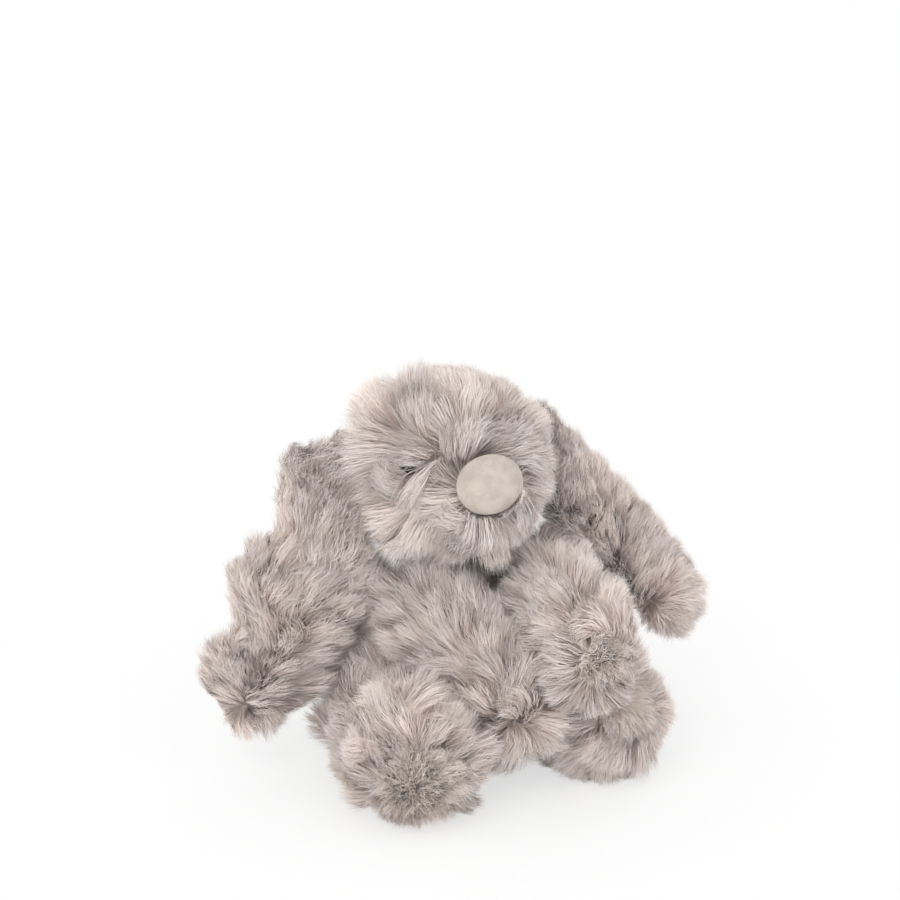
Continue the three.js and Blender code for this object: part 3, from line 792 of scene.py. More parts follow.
def nap_at(name, points, out):
    """Which way the hair lies at each point: along the surface, away from the whorl."""
    away = points - WHORLS[name]
    nap = unit(away - (away * out).sum(-1, keepdims=True) * out)
    if name in ON_FACE:
        below = 1 - smoothstep(*CHEEK_ZONE, (points - NOSE_MIDDLE) @ face_up / MM)
        nap = nap - CHEEK_PULL * below[:, None] * face_up
        nap = unit(nap - (nap * out).sum(-1, keepdims=True) * out)
        for eye in EYES:
            from_eye = points - eye
            near = np.exp(-(np.linalg.norm(from_eye, axis=-1) / EYE_FAN) ** 2)[:, None]
            fan = unit(from_eye - (from_eye * out).sum(-1, keepdims=True) * out)
            nap = unit(nap + EYE_FAN_WEIGHT * near * fan)
    return nap


def laid_paths(name, roots, twist, lift, lengths, standing):
    """Follows each hair out from its root, and gives its points and the way out at each of them."""
    points, outs = [roots], []
    upright = standing[:, None]
    from_whorl = (roots - WHORLS[name]) / max(PELTS[name]["disc"], MM)
    for k in range(SEGMENTS):
        share = (k + 0.5) / SEGMENTS
        out, _ = FORMS[name].seen_from_inside(points[-1])
        nap = nap_at(name, points[-1], out)
        nap = nap * np.cos(twist)[:, None] + np.cross(out, nap) * np.sin(twist)[:, None]
        rise = RISE_AT_ROOT + (RISE_AT_TIP - RISE_AT_ROOT) * share + lift
        step = np.cos(rise)[:, None] * nap + np.sin(rise)[:, None] * out
        step[:, 2] -= DROOP * share
        if name in SOLES:
            flat = from_whorl - (from_whorl @ SOLES[name])[:, None] * SOLES[name]
            step = unit(step) * (1 - upright) + upright * (SOLES[name] + SOLE_FAN * flat)
        points.append(points[-1] + unit(step) * (lengths / SEGMENTS)[:, None])
        outs.append(out)
    outs.append(outs[-1])
    return np.stack(points, 1), np.stack(outs, 1)


def at_share(paths, share):
    """The point at a share of each path, by straight lines between its points."""
    place = np.clip(share, 0, 1) * SEGMENTS
    low = np.minimum(place.astype(int), SEGMENTS - 1)
    part = (place - low)[..., None]
    rows = np.arange(len(paths))[:, None]
    return paths[rows, low] * (1 - part) + paths[rows, low + 1] * part


print("segments in a path:", SEGMENTS)

# %% [markdown]
# Sleek, shaded and ruffled places
#
# On the crown the pile is brushed flat. Near where the bodies meet, in the hollows between them, the pile is
# painted darker, as painted shade. Round the nose and the whorls the locks part every way. Each of these is
# a value over the pelt that is 0 off such a place and comes in smoothly over a zone, which is given in
# millimetres. Painted maps would do the same, but a zone can be read and moved.

# %% Zones of the pile
CROWN_ZONE, TOP_ZONE, TOP_SLEEK = (-4, 24), (34, 46), 0.6  # forwards and up from the middle of the head
SHADE_BY_KIND = {"torso": 1.7, "leg": 1.1, "arm": 0.9, "ear": 0.7}  # how much painted shade each kind of body gets
TORSO_FRONT, SHIN, CALF = (34, -10), (-66, -44), (12, -20)  # along the rabbit, and less is further forwards
ARM_ROOT, EAR_ROOT = (70, 30), (75, 20)  # from where the limb or the ear starts
ARM_INNER, ARM_EVEN = (4, -10), 0.5  # only its inner side on the left arm, and all round on the right one
DISC_EDGE = (0.65, 1.15)  # in radii of the disc
NOSE_RUFFLE, WHORL_RUFFLE = 22 * MM, 12 * MM
WAVES_IN_NOISE, WAVE_LENGTHS = 6, (0.7, 1.6)


def slow_noise(points, scale, rng):
    """A smooth random value from about -1 to 1 that changes over a distance of about scale."""
    total = np.zeros(len(points))
    for _ in range(WAVES_IN_NOISE):
        wave = unit(rng.normal(size=3)) * 2 * math.pi / (scale * rng.uniform(*WAVE_LENGTHS))
        total += np.sin(points @ wave + rng.uniform(0, 2 * math.pi))
    return total / (WAVES_IN_NOISE / 2)


def sleek_at(name, points):
    """1 where the pile is brushed flat, which is on the crown and the back of the head, and 0 elsewhere."""
    if name != "head":
        return np.zeros(len(points))
    forwards, up = (points - HEAD_MIDDLE) @ face_forwards / MM, (points - HEAD_MIDDLE) @ face_up / MM
    return np.maximum(1 - smoothstep(*CROWN_ZONE, forwards), TOP_SLEEK * smoothstep(*TOP_ZONE, up))


def painted_shade_at(name, points):
    """How much painted shade darkens the pile near where the bodies meet. It is 0 elsewhere."""
    behind = points[:, 1] / MM
    from_root = (points - FORMS[name].line[0]) / MM
    reach = np.linalg.norm(from_root, axis=-1)
    if name == "torso":
        return SHADE_BY_KIND["torso"] * smoothstep(*TORSO_FRONT, behind)
    if "leg" in name:
        return SHADE_BY_KIND["leg"] * smoothstep(*SHIN, behind) * smoothstep(*CALF, behind)
    if "arm" in name:
        inner = smoothstep(*ARM_INNER, from_root[:, 0]) if name == "left_arm" else ARM_EVEN
        return SHADE_BY_KIND["arm"] * inner * smoothstep(*ARM_ROOT, reach)
    if "ear" in name:
        return SHADE_BY_KIND["ear"] * smoothstep(*EAR_ROOT, reach)
    return np.zeros(len(points))


def standing_at(name, places):
    """1 on the disc of short standing hair on a sole or paw, and 0 elsewhere."""
    disc = PELTS[name]["disc"]
    from_whorl = np.linalg.norm(places - WHORLS[name], axis=-1)
    return (disc > 0) * (1 - smoothstep(DISC_EDGE[0] * disc, DISC_EDGE[1] * disc + MM, from_whorl))


def ruffled_at(name, places):
    """1 at the nose and the whorls, where the locks part every way, and 0 far from them."""
    middle, reach = (NOSE_MIDDLE, NOSE_RUFFLE) if name in ON_FACE else (WHORLS[name], WHORL_RUFFLE)
    from_middle = np.linalg.norm(places - middle, axis=-1)
    return np.exp(-(from_middle / (PELTS[name]["disc"] + reach)) ** 2)


print("shaded_kinds:", SHADE_BY_KIND)

# %% [markdown]
# # The ears' wavy edges
#
# The ears hang in soft folds, so their edges run in and out. The edges are drawn as smooth steps along the
# ear, in millimetres outwards, and everything near an edge shifts with it: cloth, roots and hairs. A cloth
# simulation could fold them too, but not into the folds of the photograph.

# %% Ear edges
EAR_EDGES = {
    "right_ear": {
        "outer": swell(
            (0.00, 0), (0.10, 0), (0.17, 9), (0.25, -5), (0.34, -15), (0.45, -9), (0.53, -4), (0.63, -14),
            (0.70, -12), (0.78, -3), (0.86, 2), (0.92, -4), (0.98, 0),
        ),
        "inner": swell((0.2, 0), (0.35, 11), (0.78, 11), (0.95, -4)),
    },
    "left_ear": {
        "outer": swell((0.04, 5), (0.22, -5), (0.42, -11), (0.62, -5), (0.75, -6), (0.9, -2)),
        "inner": swell((0.1, 0), (0.25, 9), (0.45, 8), (0.65, 6), (0.88, 0)),
    },
}
EDGE_ZONE = (-0.3, 1.1)  # in half widths from the middle line


def waved(name, points):
    """Draws an ear's edges in and out at its waves. The points near an edge shift with it."""
    if name not in EAR_EDGES:
        return points
    form, outer = FORMS[name], -1 if name == "right_ear" else 1
    flat = points.reshape(-1, 3)
    share = form.shares[form.nearest_step(flat)]
    _, side, _ = form.axes(share)
    side = side * np.sign(side[:, :1]) * outer
    off = ((flat - form.middle(share)) * side).sum(-1) / (form.wide(share) / 2)
    shift = EAR_EDGES[name]["outer"](share) * smoothstep(*EDGE_ZONE, off)
    shift -= EAR_EDGES[name]["inner"](share) * smoothstep(*EDGE_ZONE, -off)
    flat = flat + MM * shift[:, None] * side
    return flat.reshape(points.shape)


print("ears with wavy edges:", list(EAR_EDGES))

# %% [markdown]
# # Roots
#
# The pile is rooted all over the cloth, but not where another bag is sewn against it, under the toy where
# it stands, under the nose or at the eyes. Hair that grew there would poke through its neighbours.

# %% Roots
GROUND_GAP = 0.4 * MM
NOSE_CLEAR, NOSE_BEHIND, EYE_CLEAR = 10 * MM, 30 * MM, 3.6 * MM
CUT_BY = {
    "torso": ["head"],
    "head": ["torso", "muzzle"],
    "muzzle": ["head"],
    "right_ear": ["head"], "left_ear": ["head"],
    "right_arm": ["torso"], "left_arm": ["torso"],
    "right_leg": ["torso"], "left_leg": ["torso"],
    "tail": ["torso"],
}


def rooted(name, spacing, rng):
    """Roots all over a form's backing, apart from where another body's backing covers it."""
    turn, angle = scatter(FORMS[name], spacing, rng)
    roots = FORMS[name].place(turn, angle, PELTS[name]["backing"])
    outside = FORMS[name].place(turn, angle, 0)
    kept = roots[:, 2] > GROUND_GAP
    if name in ON_FACE:
        from_nose = roots - NOSE_MIDDLE
        before = from_nose @ face_forwards
        beside = np.linalg.norm(from_nose - before[:, None] * face_forwards, axis=1)
        kept &= (beside > NOSE_CLEAR) | (before < -NOSE_BEHIND)
        for eye in EYES:
            kept &= np.linalg.norm(outside - eye, axis=1) > EYE_CLEAR
    for other in CUT_BY[name]:
        _, depth = FORMS[other].seen_from_inside(roots)
        kept &= depth < PELTS[other]["backing"]
    return roots[kept], outside[kept]


def tree_of(places):
    """A tree that finds the nearest of many places."""
    tree = KDTree(len(places))
    for k, place in enumerate(places):
        tree.insert(place, k)
    tree.balance()
    return tree


print("pile cut by its neighbours:", len(CUT_BY))

# %% [markdown]
# # Growing the pile: locks
#
# Long pile hangs together on three levels. Hairs gather in tufts a few millimetres wide, tufts gather in
# locks about a finger's breadth, and towards its end a lock fans out like a soft paint brush. So the pile
# grows in the same order. First come the locks: each is one path that rises from the backing and lies over
# along the nap, with a turn, a lift and a length of its own. A cowlick is a spot where the photograph shows
# the locks longer, shorter or standing up more than round it.

# %% Locks
LOCKS_KEPT = 0.66  # of the even places, so that some locks are wider than others
SLEEK_CALM, SLEEK_EVEN = 0.85, 0.8  # how much less sleek locks are tossed and differ in length
SWIRL_SCALE = 30 * MM
TOSSED_TURN, TOSSED_LIFT, DISC_TURN, DISC_LIFT = 0.36, 0.20, 3, 0.95  # all four are angles
RUFFLE_TURN, RUFFLE_SHORTER = {"ear": 0.15, "other": 0.60}, {"ear": 0, "other": 0.28}
LOCK_LENGTHS = (-0.15, 0.14)  # shorter or longer, as a share of the pile's length
COWLICKS = {
    "right_leg": [
        {"pixel": (396, 722), "reach": 13 * MM, "longer": 0.45, "lift": 0.30},
        {"pixel": (322, 722), "reach": 16 * MM, "longer": -0.35, "lift": -0.20},
        {"pixel": (446, 818), "reach": 13 * MM, "longer": 0.35, "lift": 0.20},
        {"pixel": (414, 813), "reach": 12 * MM, "longer": 0.42, "lift": 0.20},
    ],
    "left_arm": [
        {"pixel": (502, 585), "reach": 19 * MM, "longer": -0.75, "lift": -0.40},
        {"pixel": (614, 612), "reach": 12 * MM, "longer": 0.35, "lift": 0.20},
    ],
    "muzzle": [
        {"pixel": (492, 456), "reach": 12 * MM, "longer": 0.15, "lift": 0.45},
        {"pixel": (476, 514), "reach": 9 * MM, "longer": 0.50, "lift": 0.05},
    ],
}


# Zones in millimetres: on the head from its middle, on the ears from where they start, and on the torso
# from its middle line.
LEFT_ZONE, LEFT_TOP_ZONE, LEFT_TOP_LESS = (10, 40), (10, 35), 0.6
RIGHT_ZONE, RIGHT_UP_ZONE, RIGHT_FRONT_ZONE, TOPMOST_ZONE = (14, 40), (0, 25), (-18, 8), (18, 42)
LEFT_SHORTER, SLEEK_SHORTER, TOP_SHORTER, RIGHT_LONGER = 0.38, 0.25, 0.02, 0.44
RIGHT_LIFT, TOP_FLATTER = 0.38, 0.5
EAR_START_ZONE, EAR_START_HAIR, EAR_MORE = (12, 70), 0.45, 0.55
EAR_TIP_ZONE, EAR_TIP_SHORTER = (145, 168), 0.22
FLANK_ZONE, BELLY_HAIR, FLANK_MORE = (22, 44), 0.34, 0.81


def brushed_head(places, length, lift, sleek):
    """Shorter hair on the left side, flat hair on the crown, and a bulge of long hair at the right top."""
    left, up, forwards = ((places - HEAD_MIDDLE) @ way / MM for way in (face_side, face_up, face_forwards))
    left_side = smoothstep(*LEFT_ZONE, left) * (1 - LEFT_TOP_LESS * smoothstep(*LEFT_TOP_ZONE, up))
    right_top = smoothstep(*RIGHT_ZONE, -left) * smoothstep(*RIGHT_UP_ZONE, up)
    right_top = right_top * smoothstep(*RIGHT_FRONT_ZONE, forwards)
    topmost = smoothstep(*TOPMOST_ZONE, up) * (1 - right_top)
    length = length * (1 - LEFT_SHORTER * left_side) * (1 - SLEEK_SHORTER * sleek)
    length = length * (1 - TOP_SHORTER * topmost) * (1 + RIGHT_LONGER * right_top)
    return length, lift + (RIGHT_LIFT * right_top - TOP_FLATTER * topmost * np.maximum(lift, 0))


def brushed(name, places, length, lift, sleek):
    """The lengths and lifts of locks, changed where the photograph shows them longer, shorter or raised."""
    if name == "head":
        length, lift = brushed_head(places, length, lift, sleek)
    if "ear" in name:
        from_head = np.linalg.norm(places - FORMS[name].line[0], axis=-1) / MM
        length = length * (EAR_START_HAIR + EAR_MORE * smoothstep(*EAR_START_ZONE, from_head))
        length = length * (1 - EAR_TIP_SHORTER * smoothstep(*EAR_TIP_ZONE, from_head))
    if name == "torso":
        length = length * (BELLY_HAIR + FLANK_MORE * smoothstep(*FLANK_ZONE, np.abs(places[:, 0]) / MM))
    for cowlick in COWLICKS.get(name, []):
        middle = surface_at(FORMS[name], cowlick["pixel"])
        near = np.exp(-(np.linalg.norm(places - middle, axis=-1) / cowlick["reach"]) ** 2)
        length = length * (1 + cowlick["longer"] * near)
        lift = lift + cowlick["lift"] * near
    return length, lift


def lay_locks(name, rng):
    """The locks of a form: where they are, how they turn and lift, how long they are, and their paths."""
    habit, kind = PELTS[name], "ear" if "ear" in name else "other"
    roots, outside = rooted(name, habit["lock"], rng)
    kept = rng.random(len(roots)) < LOCKS_KEPT
    roots, outside = roots[kept], outside[kept]
    count, sleek = len(roots), sleek_at(name, outside)
    standing, ruffled = standing_at(name, outside), ruffled_at(name, outside)
    tossing = habit["toss"] * (1 - SLEEK_CALM * sleek)
    twist = habit["swirl"] * slow_noise(outside, SWIRL_SCALE, rng)
    twist += (TOSSED_TURN * tossing + RUFFLE_TURN[kind] * ruffled) * rng.normal(0, 1, count)
    twist += standing * rng.uniform(-DISC_TURN, DISC_TURN, count)
    lift = tossing * (rng.normal(0, TOSSED_LIFT, count) + habit["lift"]) + DISC_LIFT * standing
    length = habit["hair"] * (1 + rng.uniform(*LOCK_LENGTHS, count) * (1 - SLEEK_EVEN * sleek))
    length *= 1 - RUFFLE_SHORTER[kind] * ruffled
    length, lift = brushed(name, outside, length, lift, sleek)
    laid_length = length * (1 - standing) + habit["stubble"] * standing
    paths, _ = laid_paths(name, roots, twist, lift, laid_length, standing)
    return {
        "outside": outside, "twist": twist, "lift": lift, "length": length, "paths": paths,
        "sleek": sleek, "standing": standing,
    }


print("cowlicks:", sum(len(spots) for spots in COWLICKS.values()))

# %% [markdown]
# # Tufts
#
# Tufts fill the cloth between the locks. Each tuft belongs to the lock that is nearest, turns with it and is
# drawn towards it along the way, so that gaps open between the locks. Round the stubble of a sole there is a
# rim where the tufts are shorter, which shows in the photograph as a dark ring; its tone is also painted
# darker, as painted shade.

# %% Tufts
QUICK_THINNING = 1.0
TUFT_SPACING = 1.5 * MM * math.sqrt(QUICK_THINNING)
LOCK_HOLD, LOOSENESS = 0.24, (0.5, 1.4)  # how far tufts are drawn to their lock, and how that varies
LOCK_SPLAY, SPLAY_MOST = 0.32, 1.5  # how far the tufts at a lock's sides turn outwards
TUFT_TURN, TUFT_LIFT, STUBBLE_TURN, TUFT_LENGTHS = 0.12, 0.07, 1.5, (0.92, 1.03)
EDGE_LOWER, EDGE_SHORTER = 0.07, 0.04  # how tufts at a lock's edge differ from those in its middle
RIM_WIDTH, RIM_SHORTER = 0.16, 0.35  # the width is a share of the disc's radius


def lay_tufts(name, locks, rng):
    """The tufts of a form: the lock of each, its path, and how far it stands in the stubble or its rim."""
    habit, middles = PELTS[name], locks["outside"]
    tree = tree_of(middles)
    roots, outside = rooted(name, TUFT_SPACING, rng)
    lock_of = np.array([tree.find(place)[1] for place in outside])
    count = len(roots)
    from_middle = (outside - middles[lock_of]) / (habit["lock"] / 2)
    off_middle = np.minimum(np.linalg.norm(from_middle, axis=-1), 2)
    lock_out, _ = FORMS[name].seen_from_inside(middles)
    beside_lock = np.cross(lock_out, nap_at(name, middles, lock_out))[lock_of]
    splay = LOCK_SPLAY * np.clip((from_middle * beside_lock).sum(-1), -SPLAY_MOST, SPLAY_MOST)
    stubble = standing_at(name, outside)
    twist = locks["twist"][lock_of] + splay + rng.normal(0, TUFT_TURN, count)
    twist += stubble * rng.uniform(-STUBBLE_TURN, STUBBLE_TURN, count)
    lift = locks["lift"][lock_of] + rng.normal(0, TUFT_LIFT, count) - EDGE_LOWER * off_middle ** 2
    lengths = locks["length"][lock_of] * (1 - stubble) + habit["stubble"] * stubble
    lengths *= rng.uniform(*TUFT_LENGTHS, count) * (1 - EDGE_SHORTER * off_middle)
    from_disc = np.linalg.norm(outside - WHORLS[name], axis=-1) / max(habit["disc"], MM)
    rim = (habit["disc"] > 0) * np.exp(-((from_disc - 1.0) / RIM_WIDTH) ** 2)
    lengths *= 1 - RIM_SHORTER * rim
    paths, outs = laid_paths(name, roots, twist, lift, lengths, stubble)
    hold = LOCK_HOLD * smoothstep(0.1, 1.0, np.linspace(0, 1, SEGMENTS + 1))[None, :, None]
    loose = rng.uniform(*LOOSENESS, len(middles))[lock_of][:, None, None]
    loose *= (1 - stubble)[:, None, None]
    paths += hold * loose * (locks["paths"][lock_of] - paths)
    return {
        "outside": outside, "lock": lock_of, "paths": paths, "outs": outs, "stubble": stubble, "rim": rim,
    }


print("tufts stand", round(TUFT_SPACING / MM, 2), "mm apart")

# %% [markdown]
# # Keeping the nose and the eyes free
#
# A maker brushes and snips the pile round the nose and the eyes, but leaves a few hairs across. Here what
# would lie over the nose moves out to the edge of an oval before it, and of the hairs that cross the line
# of sight to an eye only one in ten stays. Both are done on the finished hairs, since only then is it known
# where they lie.

# %% Nose and eyes
OVAL_HALF_WIDTH, OVAL_HALF_HEIGHT = 17.0 * MM, 13.4 * MM
OVAL_DROP, OVAL_BEHIND = 2.2 * MM, 7 * MM  # how far it sits below and reaches behind the nose's middle
EYE_SLIT_WIDE, EYE_SLIT_HIGH = 4.6 * MM, 2.6 * MM
HAIRS_OVER_EYE = 0.10
QUARTERS = (0, 0.25, 0.5, 0.75)  # of the way from one point of a hair to the next


def clear_of_nose(points):
    """Parts the hairs round the nose: what would lie in it or before it moves out to its edge."""
    from_nose = points - NOSE_MIDDLE
    before = from_nose @ face_forwards
    flat = from_nose - before[..., None] * face_forwards
    wide, high = flat @ face_side / OVAL_HALF_WIDTH, (flat @ face_up + OVAL_DROP) / OVAL_HALF_HEIGHT
    reach = np.maximum(np.hypot(wide, high), 1e-3)
    pushed = np.where((before > -OVAL_BEHIND) & (reach < 1), 1 / reach, 1)
    return points + flat * (pushed - 1)[..., None]


def covers_eye(points, rng):
    """Finds the hairs that would hide an eye. A few may, and the others are combed away."""
    between = [points[:, k:k + 1] * (1 - part) + points[:, k + 1:k + 2] * part
               for k in range(points.shape[1] - 1) for part in QUARTERS]
    places = np.concatenate(between + [points[:, -1:]], axis=1)
    covers = np.zeros(len(points), bool)
    for eye in EYES:
        away = unit(eye - HEAD_MIDDLE)
        glance = unit(away + face_forwards)
        slit_side = unit(np.cross(face_up, glance))
        slit_up = np.cross(glance, slit_side)
        from_eye = places - (eye - PILE_DEPTH * away)
        wide, high = from_eye @ slit_side / EYE_SLIT_WIDE, from_eye @ slit_up / EYE_SLIT_HIGH
        covers |= ((from_eye @ glance > 0) & (np.hypot(wide, high) < 1)).any(1)
    return covers & (rng.random(len(points)) > HAIRS_OVER_EYE)


print("hairs left over an eye:", HAIRS_OVER_EYE)

# %% [markdown]
# # Hairs
#
# Last come the hairs. Those of a tuft spread out above the root, wave a little and close again towards the
# tip, and one in eight strays. Light falls on a lock as on one rounded thing, so the hairs' normals lean
# away from the middle of their lock. That is what makes the locks read as locks.

# %% Hairs
HAIRS_IN_TUFT = 6
HAIR_NODES = np.array([0.0, 0.40, 0.75, 1.0])  # where a hair has a corner or two, along its length
HAIR_LENGTHS, HAIR_WAVES = (0.88, 1.03), (3, 7)  # as shares of the tuft's length, and as angles
TUFT_HOLD, STUBBLE_HOLD, STRAY_HOLD = 0.10, 0.55, -1.2  # how far hairs close at the tip: strays spread
STRAYS, SLEEK_STRAYS_LESS = 0.12, 0.7
TUFT_RADIUS = 0.75  # in tuft spacings
OPEN_AT_ROOT, OPEN_FROM = 0.55, 0.3  # a tuft is this narrow at its root, and fully wide from this share on
CURL, STRAY_CURL, CURL_POWER = 1.3 * MM, 3.0, 1.4
LOCK_ROUNDNESS, NORMAL_NOISE, NORMAL_ACROSS, HAIR_ROLL = 0.50, 0.20, 0.7, 0.6


def spread_hairs(name, locks, tufts, rng):
    """The hairs of a form: their points, the ways out there, their locks' points, and which hairs stray."""
    tuft_of = np.repeat(np.arange(len(tufts["outside"])), HAIRS_IN_TUFT)
    lock_of, count = tufts["lock"][tuft_of], len(tuft_of)
    share = HAIR_NODES[None, :] * rng.uniform(*HAIR_LENGTHS, count)[:, None]
    points = at_share(tufts["paths"][tuft_of], share)
    out = unit(at_share(tufts["outs"][tuft_of], share))
    forwards = unit(np.gradient(points, axis=1))
    sideways = unit(np.cross(out, forwards))
    radius = TUFT_RADIUS * TUFT_SPACING * np.sqrt(rng.random(count))
    around = rng.uniform(0, 2 * math.pi, count)
    fan = OPEN_AT_ROOT + (1 - OPEN_AT_ROOT) * np.minimum(1, share / OPEN_FROM)
    stray = (rng.random(count) < STRAYS * (1 - SLEEK_STRAYS_LESS * locks["sleek"][lock_of]))[:, None]
    hold = TUFT_HOLD + STUBBLE_HOLD * tufts["stubble"][tuft_of][:, None]
    spread = radius[:, None] * fan * (1 - hold * share ** CURL_POWER * np.where(stray, STRAY_HOLD, 1))
    curl = CURL * share ** CURL_POWER * np.where(stray, STRAY_CURL, 1.0)
    wave = rng.uniform(0, 2 * math.pi, count)[:, None] + share * rng.uniform(*HAIR_WAVES, count)[:, None]
    points = points + (spread * np.cos(around)[:, None] + curl * np.cos(wave))[..., None] * sideways
    rise = (spread * np.sin(around)[:, None] + curl * np.sin(wave))[..., None]
    points = points + rise * np.cross(forwards, sideways)
    if name in ON_FACE:
        points = clear_of_nose(points)
    points[..., 2] = np.maximum(points[..., 2], GROUND_GAP * (0.5 + share))
    return points, out, at_share(locks["paths"][lock_of], share), stray[:, 0]


def turn_hairs(name, points, out, lock_points, rng):
    """The normals of the hairs, which lean away from their lock's middle, and the ways their widths run."""
    forwards = unit(np.gradient(points, axis=1))
    from_lock = points - lock_points
    from_lock -= (from_lock * forwards).sum(-1, keepdims=True) * forwards
    normal = out + LOCK_ROUNDNESS * from_lock / (0.5 * PELTS[name]["lock"])
    normal = normal + rng.normal(0, NORMAL_NOISE, (len(points), 1, 3))
    normal = unit(normal - NORMAL_ACROSS * (normal * forwards).sum(-1, keepdims=True) * forwards)
    roll = rng.uniform(-HAIR_ROLL, HAIR_ROLL, len(points))[:, None, None]
    facing = unit(np.cross(forwards, normal))
    return normal, unit(facing * np.cos(roll) + np.cross(forwards, facing) * np.sin(roll))


print("nodes in a hair:", len(HAIR_NODES))

# %% [markdown]
# # Tones
#
# A lock's tone drifts slowly over the pelt and differs a little from its neighbours'. It is painted darker,
# as painted shade, near where the bodies meet and on the rim round a sole, and painted lighter, as painted
# light, on the sleek crown and the short standing hair of the soles. Stray hairs carry a painted highlight,
# and each hair differs by a touch. The short hair on the soles and the hair round the nose is parted, so
# that
# light reaches its roots: those are paler, as painted light, and on the rest of the face the painted shade
# at the roots is lighter too.

# %% Tones
MIDDLE_TONE, TONE_SCALE = 0.56, 60 * MM
DRIFT, LOCK_TONES, HAIR_TONES, TUFT_TONES = 0.12, 0.14, 0.24, 0.32  # how much each level varies
SHADE_BETWEEN_BODIES, SLEEK_PAINTED_LIGHT, DISC_PAINTED_LIGHT, STRAY_PAINTED_HIGHLIGHT, RIM_PAINTED_SHADE = 0.50, 0.20, 0.40, 0.35, 0.30
# painted light on the stubble of a sole, and how far its roots are as pale as its tips
STUBBLE_PAINTED_LIGHT, STUBBLE_PALE = 0.16, 0.86
# lighter roots on the face and round the nose: less painted shade at the root
FACE_PALE, NOSE_PALE, NOSE_ZONE = 0.35, 0.40, (40, 22)  # the zone is in mm from the nose's middle


def hair_tones(name, locks, tufts, stray, rng):
    """The tone of each hair: 0 is dark with painted shade, and 1 is warm and bright."""
    places, stubble = locks["outside"], tufts["stubble"]
    tone = MIDDLE_TONE + DRIFT * slow_noise(places, TONE_SCALE, rng) + rng.normal(0, LOCK_TONES, len(places))
    # painted shade near where the bodies meet
    tone -= SHADE_BETWEEN_BODIES * painted_shade_at(name, places)
    # painted light on the sleek crown and on the standing hair of a sole
    tone += SLEEK_PAINTED_LIGHT * locks["sleek"] + DISC_PAINTED_LIGHT * locks["standing"]
    by_lock = np.repeat(tone[tufts["lock"]], HAIRS_IN_TUFT)
    # a painted highlight on the stray hairs
    by_hair = rng.normal(0, HAIR_TONES, len(stray)) + STRAY_PAINTED_HIGHLIGHT * stray
    # painted light on the stubble, and painted shade on the rim round it
    by_tuft = stubble * (STUBBLE_PAINTED_LIGHT + rng.normal(0, TUFT_TONES, len(stubble))) - RIM_PAINTED_SHADE * tufts["rim"]
    return np.clip(by_lock + by_hair + np.repeat(by_tuft, HAIRS_IN_TUFT), 0.01, 0.99)


def paleness_of(name, tufts):
    """How far a hair's root is as pale as its tip: how much of the painted shade at its root is left out."""
    stubble = tufts["stubble"]
    by_nose = smoothstep(*NOSE_ZONE, np.linalg.norm(tufts["outside"] - NOSE_MIDDLE, axis=-1) / MM)
    root = FACE_PALE + NOSE_PALE * by_nose if name in ON_FACE else 0
    return np.repeat(STUBBLE_PALE * stubble + root * (1 - stubble), HAIRS_IN_TUFT)


def grow(name, rng):
    """The hairs of one form: their points, widths' directions, normals, roots, tones and paleness."""
    locks = lay_locks(name, rng)
    tufts = lay_tufts(name, locks, rng)
    points, out, lock_points, stray = spread_hairs(name, locks, tufts, rng)
    normal, side = turn_hairs(name, points, out, lock_points, rng)
    tone = hair_tones(name, locks, tufts, stray, rng)
    points = waved(name, points)
    grown = {
        "points": points, "side": side, "normal": normal, "tone": tone, "root": points[:, 0],
        "paleness": paleness_of(name, tufts),
    }
    if name in ON_FACE:
        combed = ~covers_eye(points, rng)
        grown = {key: values[combed] for key, values in grown.items()}
    return grown


PILES = {}
for name in FORMS:
    PILES[name] = grow(name, seeded(name))
    print(name, "has", len(PILES[name]["points"]), "hairs")

# %% [markdown]
# # Pieces of pile
#
# Each hair becomes a ribbon, with one four-sided face above the other and a pointed tip. A tube with four
# sides would need four times the triangles and look the same from here. The ribbons of a form are sorted
# into a few pieces, such as the front and the back of an ear, so that none is too heavy to handle.

# %% Ribbons
HAIR_WIDTH = 0.29 * MM * math.sqrt(QUICK_THINNING)
HAIR_TAPER = np.array([1.0, 1.0, 0.75])
RIBBON = np.array([0, 1, 3, 2, 2, 3, 5, 4, 4, 5, 6])  # the corners of its three faces, one after another
RIBBON_CORNERS, RIBBON_TRIANGLES = 7, 5
FACES_START = np.array([0, 4, 8])
TONE_STRIP = 0.004  # the two edges of a ribbon differ by as much in tone, so that the map isn't a bare line
ROOT_COLOUR, TIP_COLOUR = 0.01, 0.99


def ribboned(at_edges, at_tip, shift=0):
    """A value at the corners of each ribbon: two at each of three nodes, less and more shift, and a tip."""
    values = np.empty((len(at_tip), RIBBON_CORNERS, at_tip.shape[-1]))
    values[:, 0:6:2] = at_edges - shift
    values[:, 1:6:2] = at_edges + shift
    values[:, 6] = at_tip
    return values


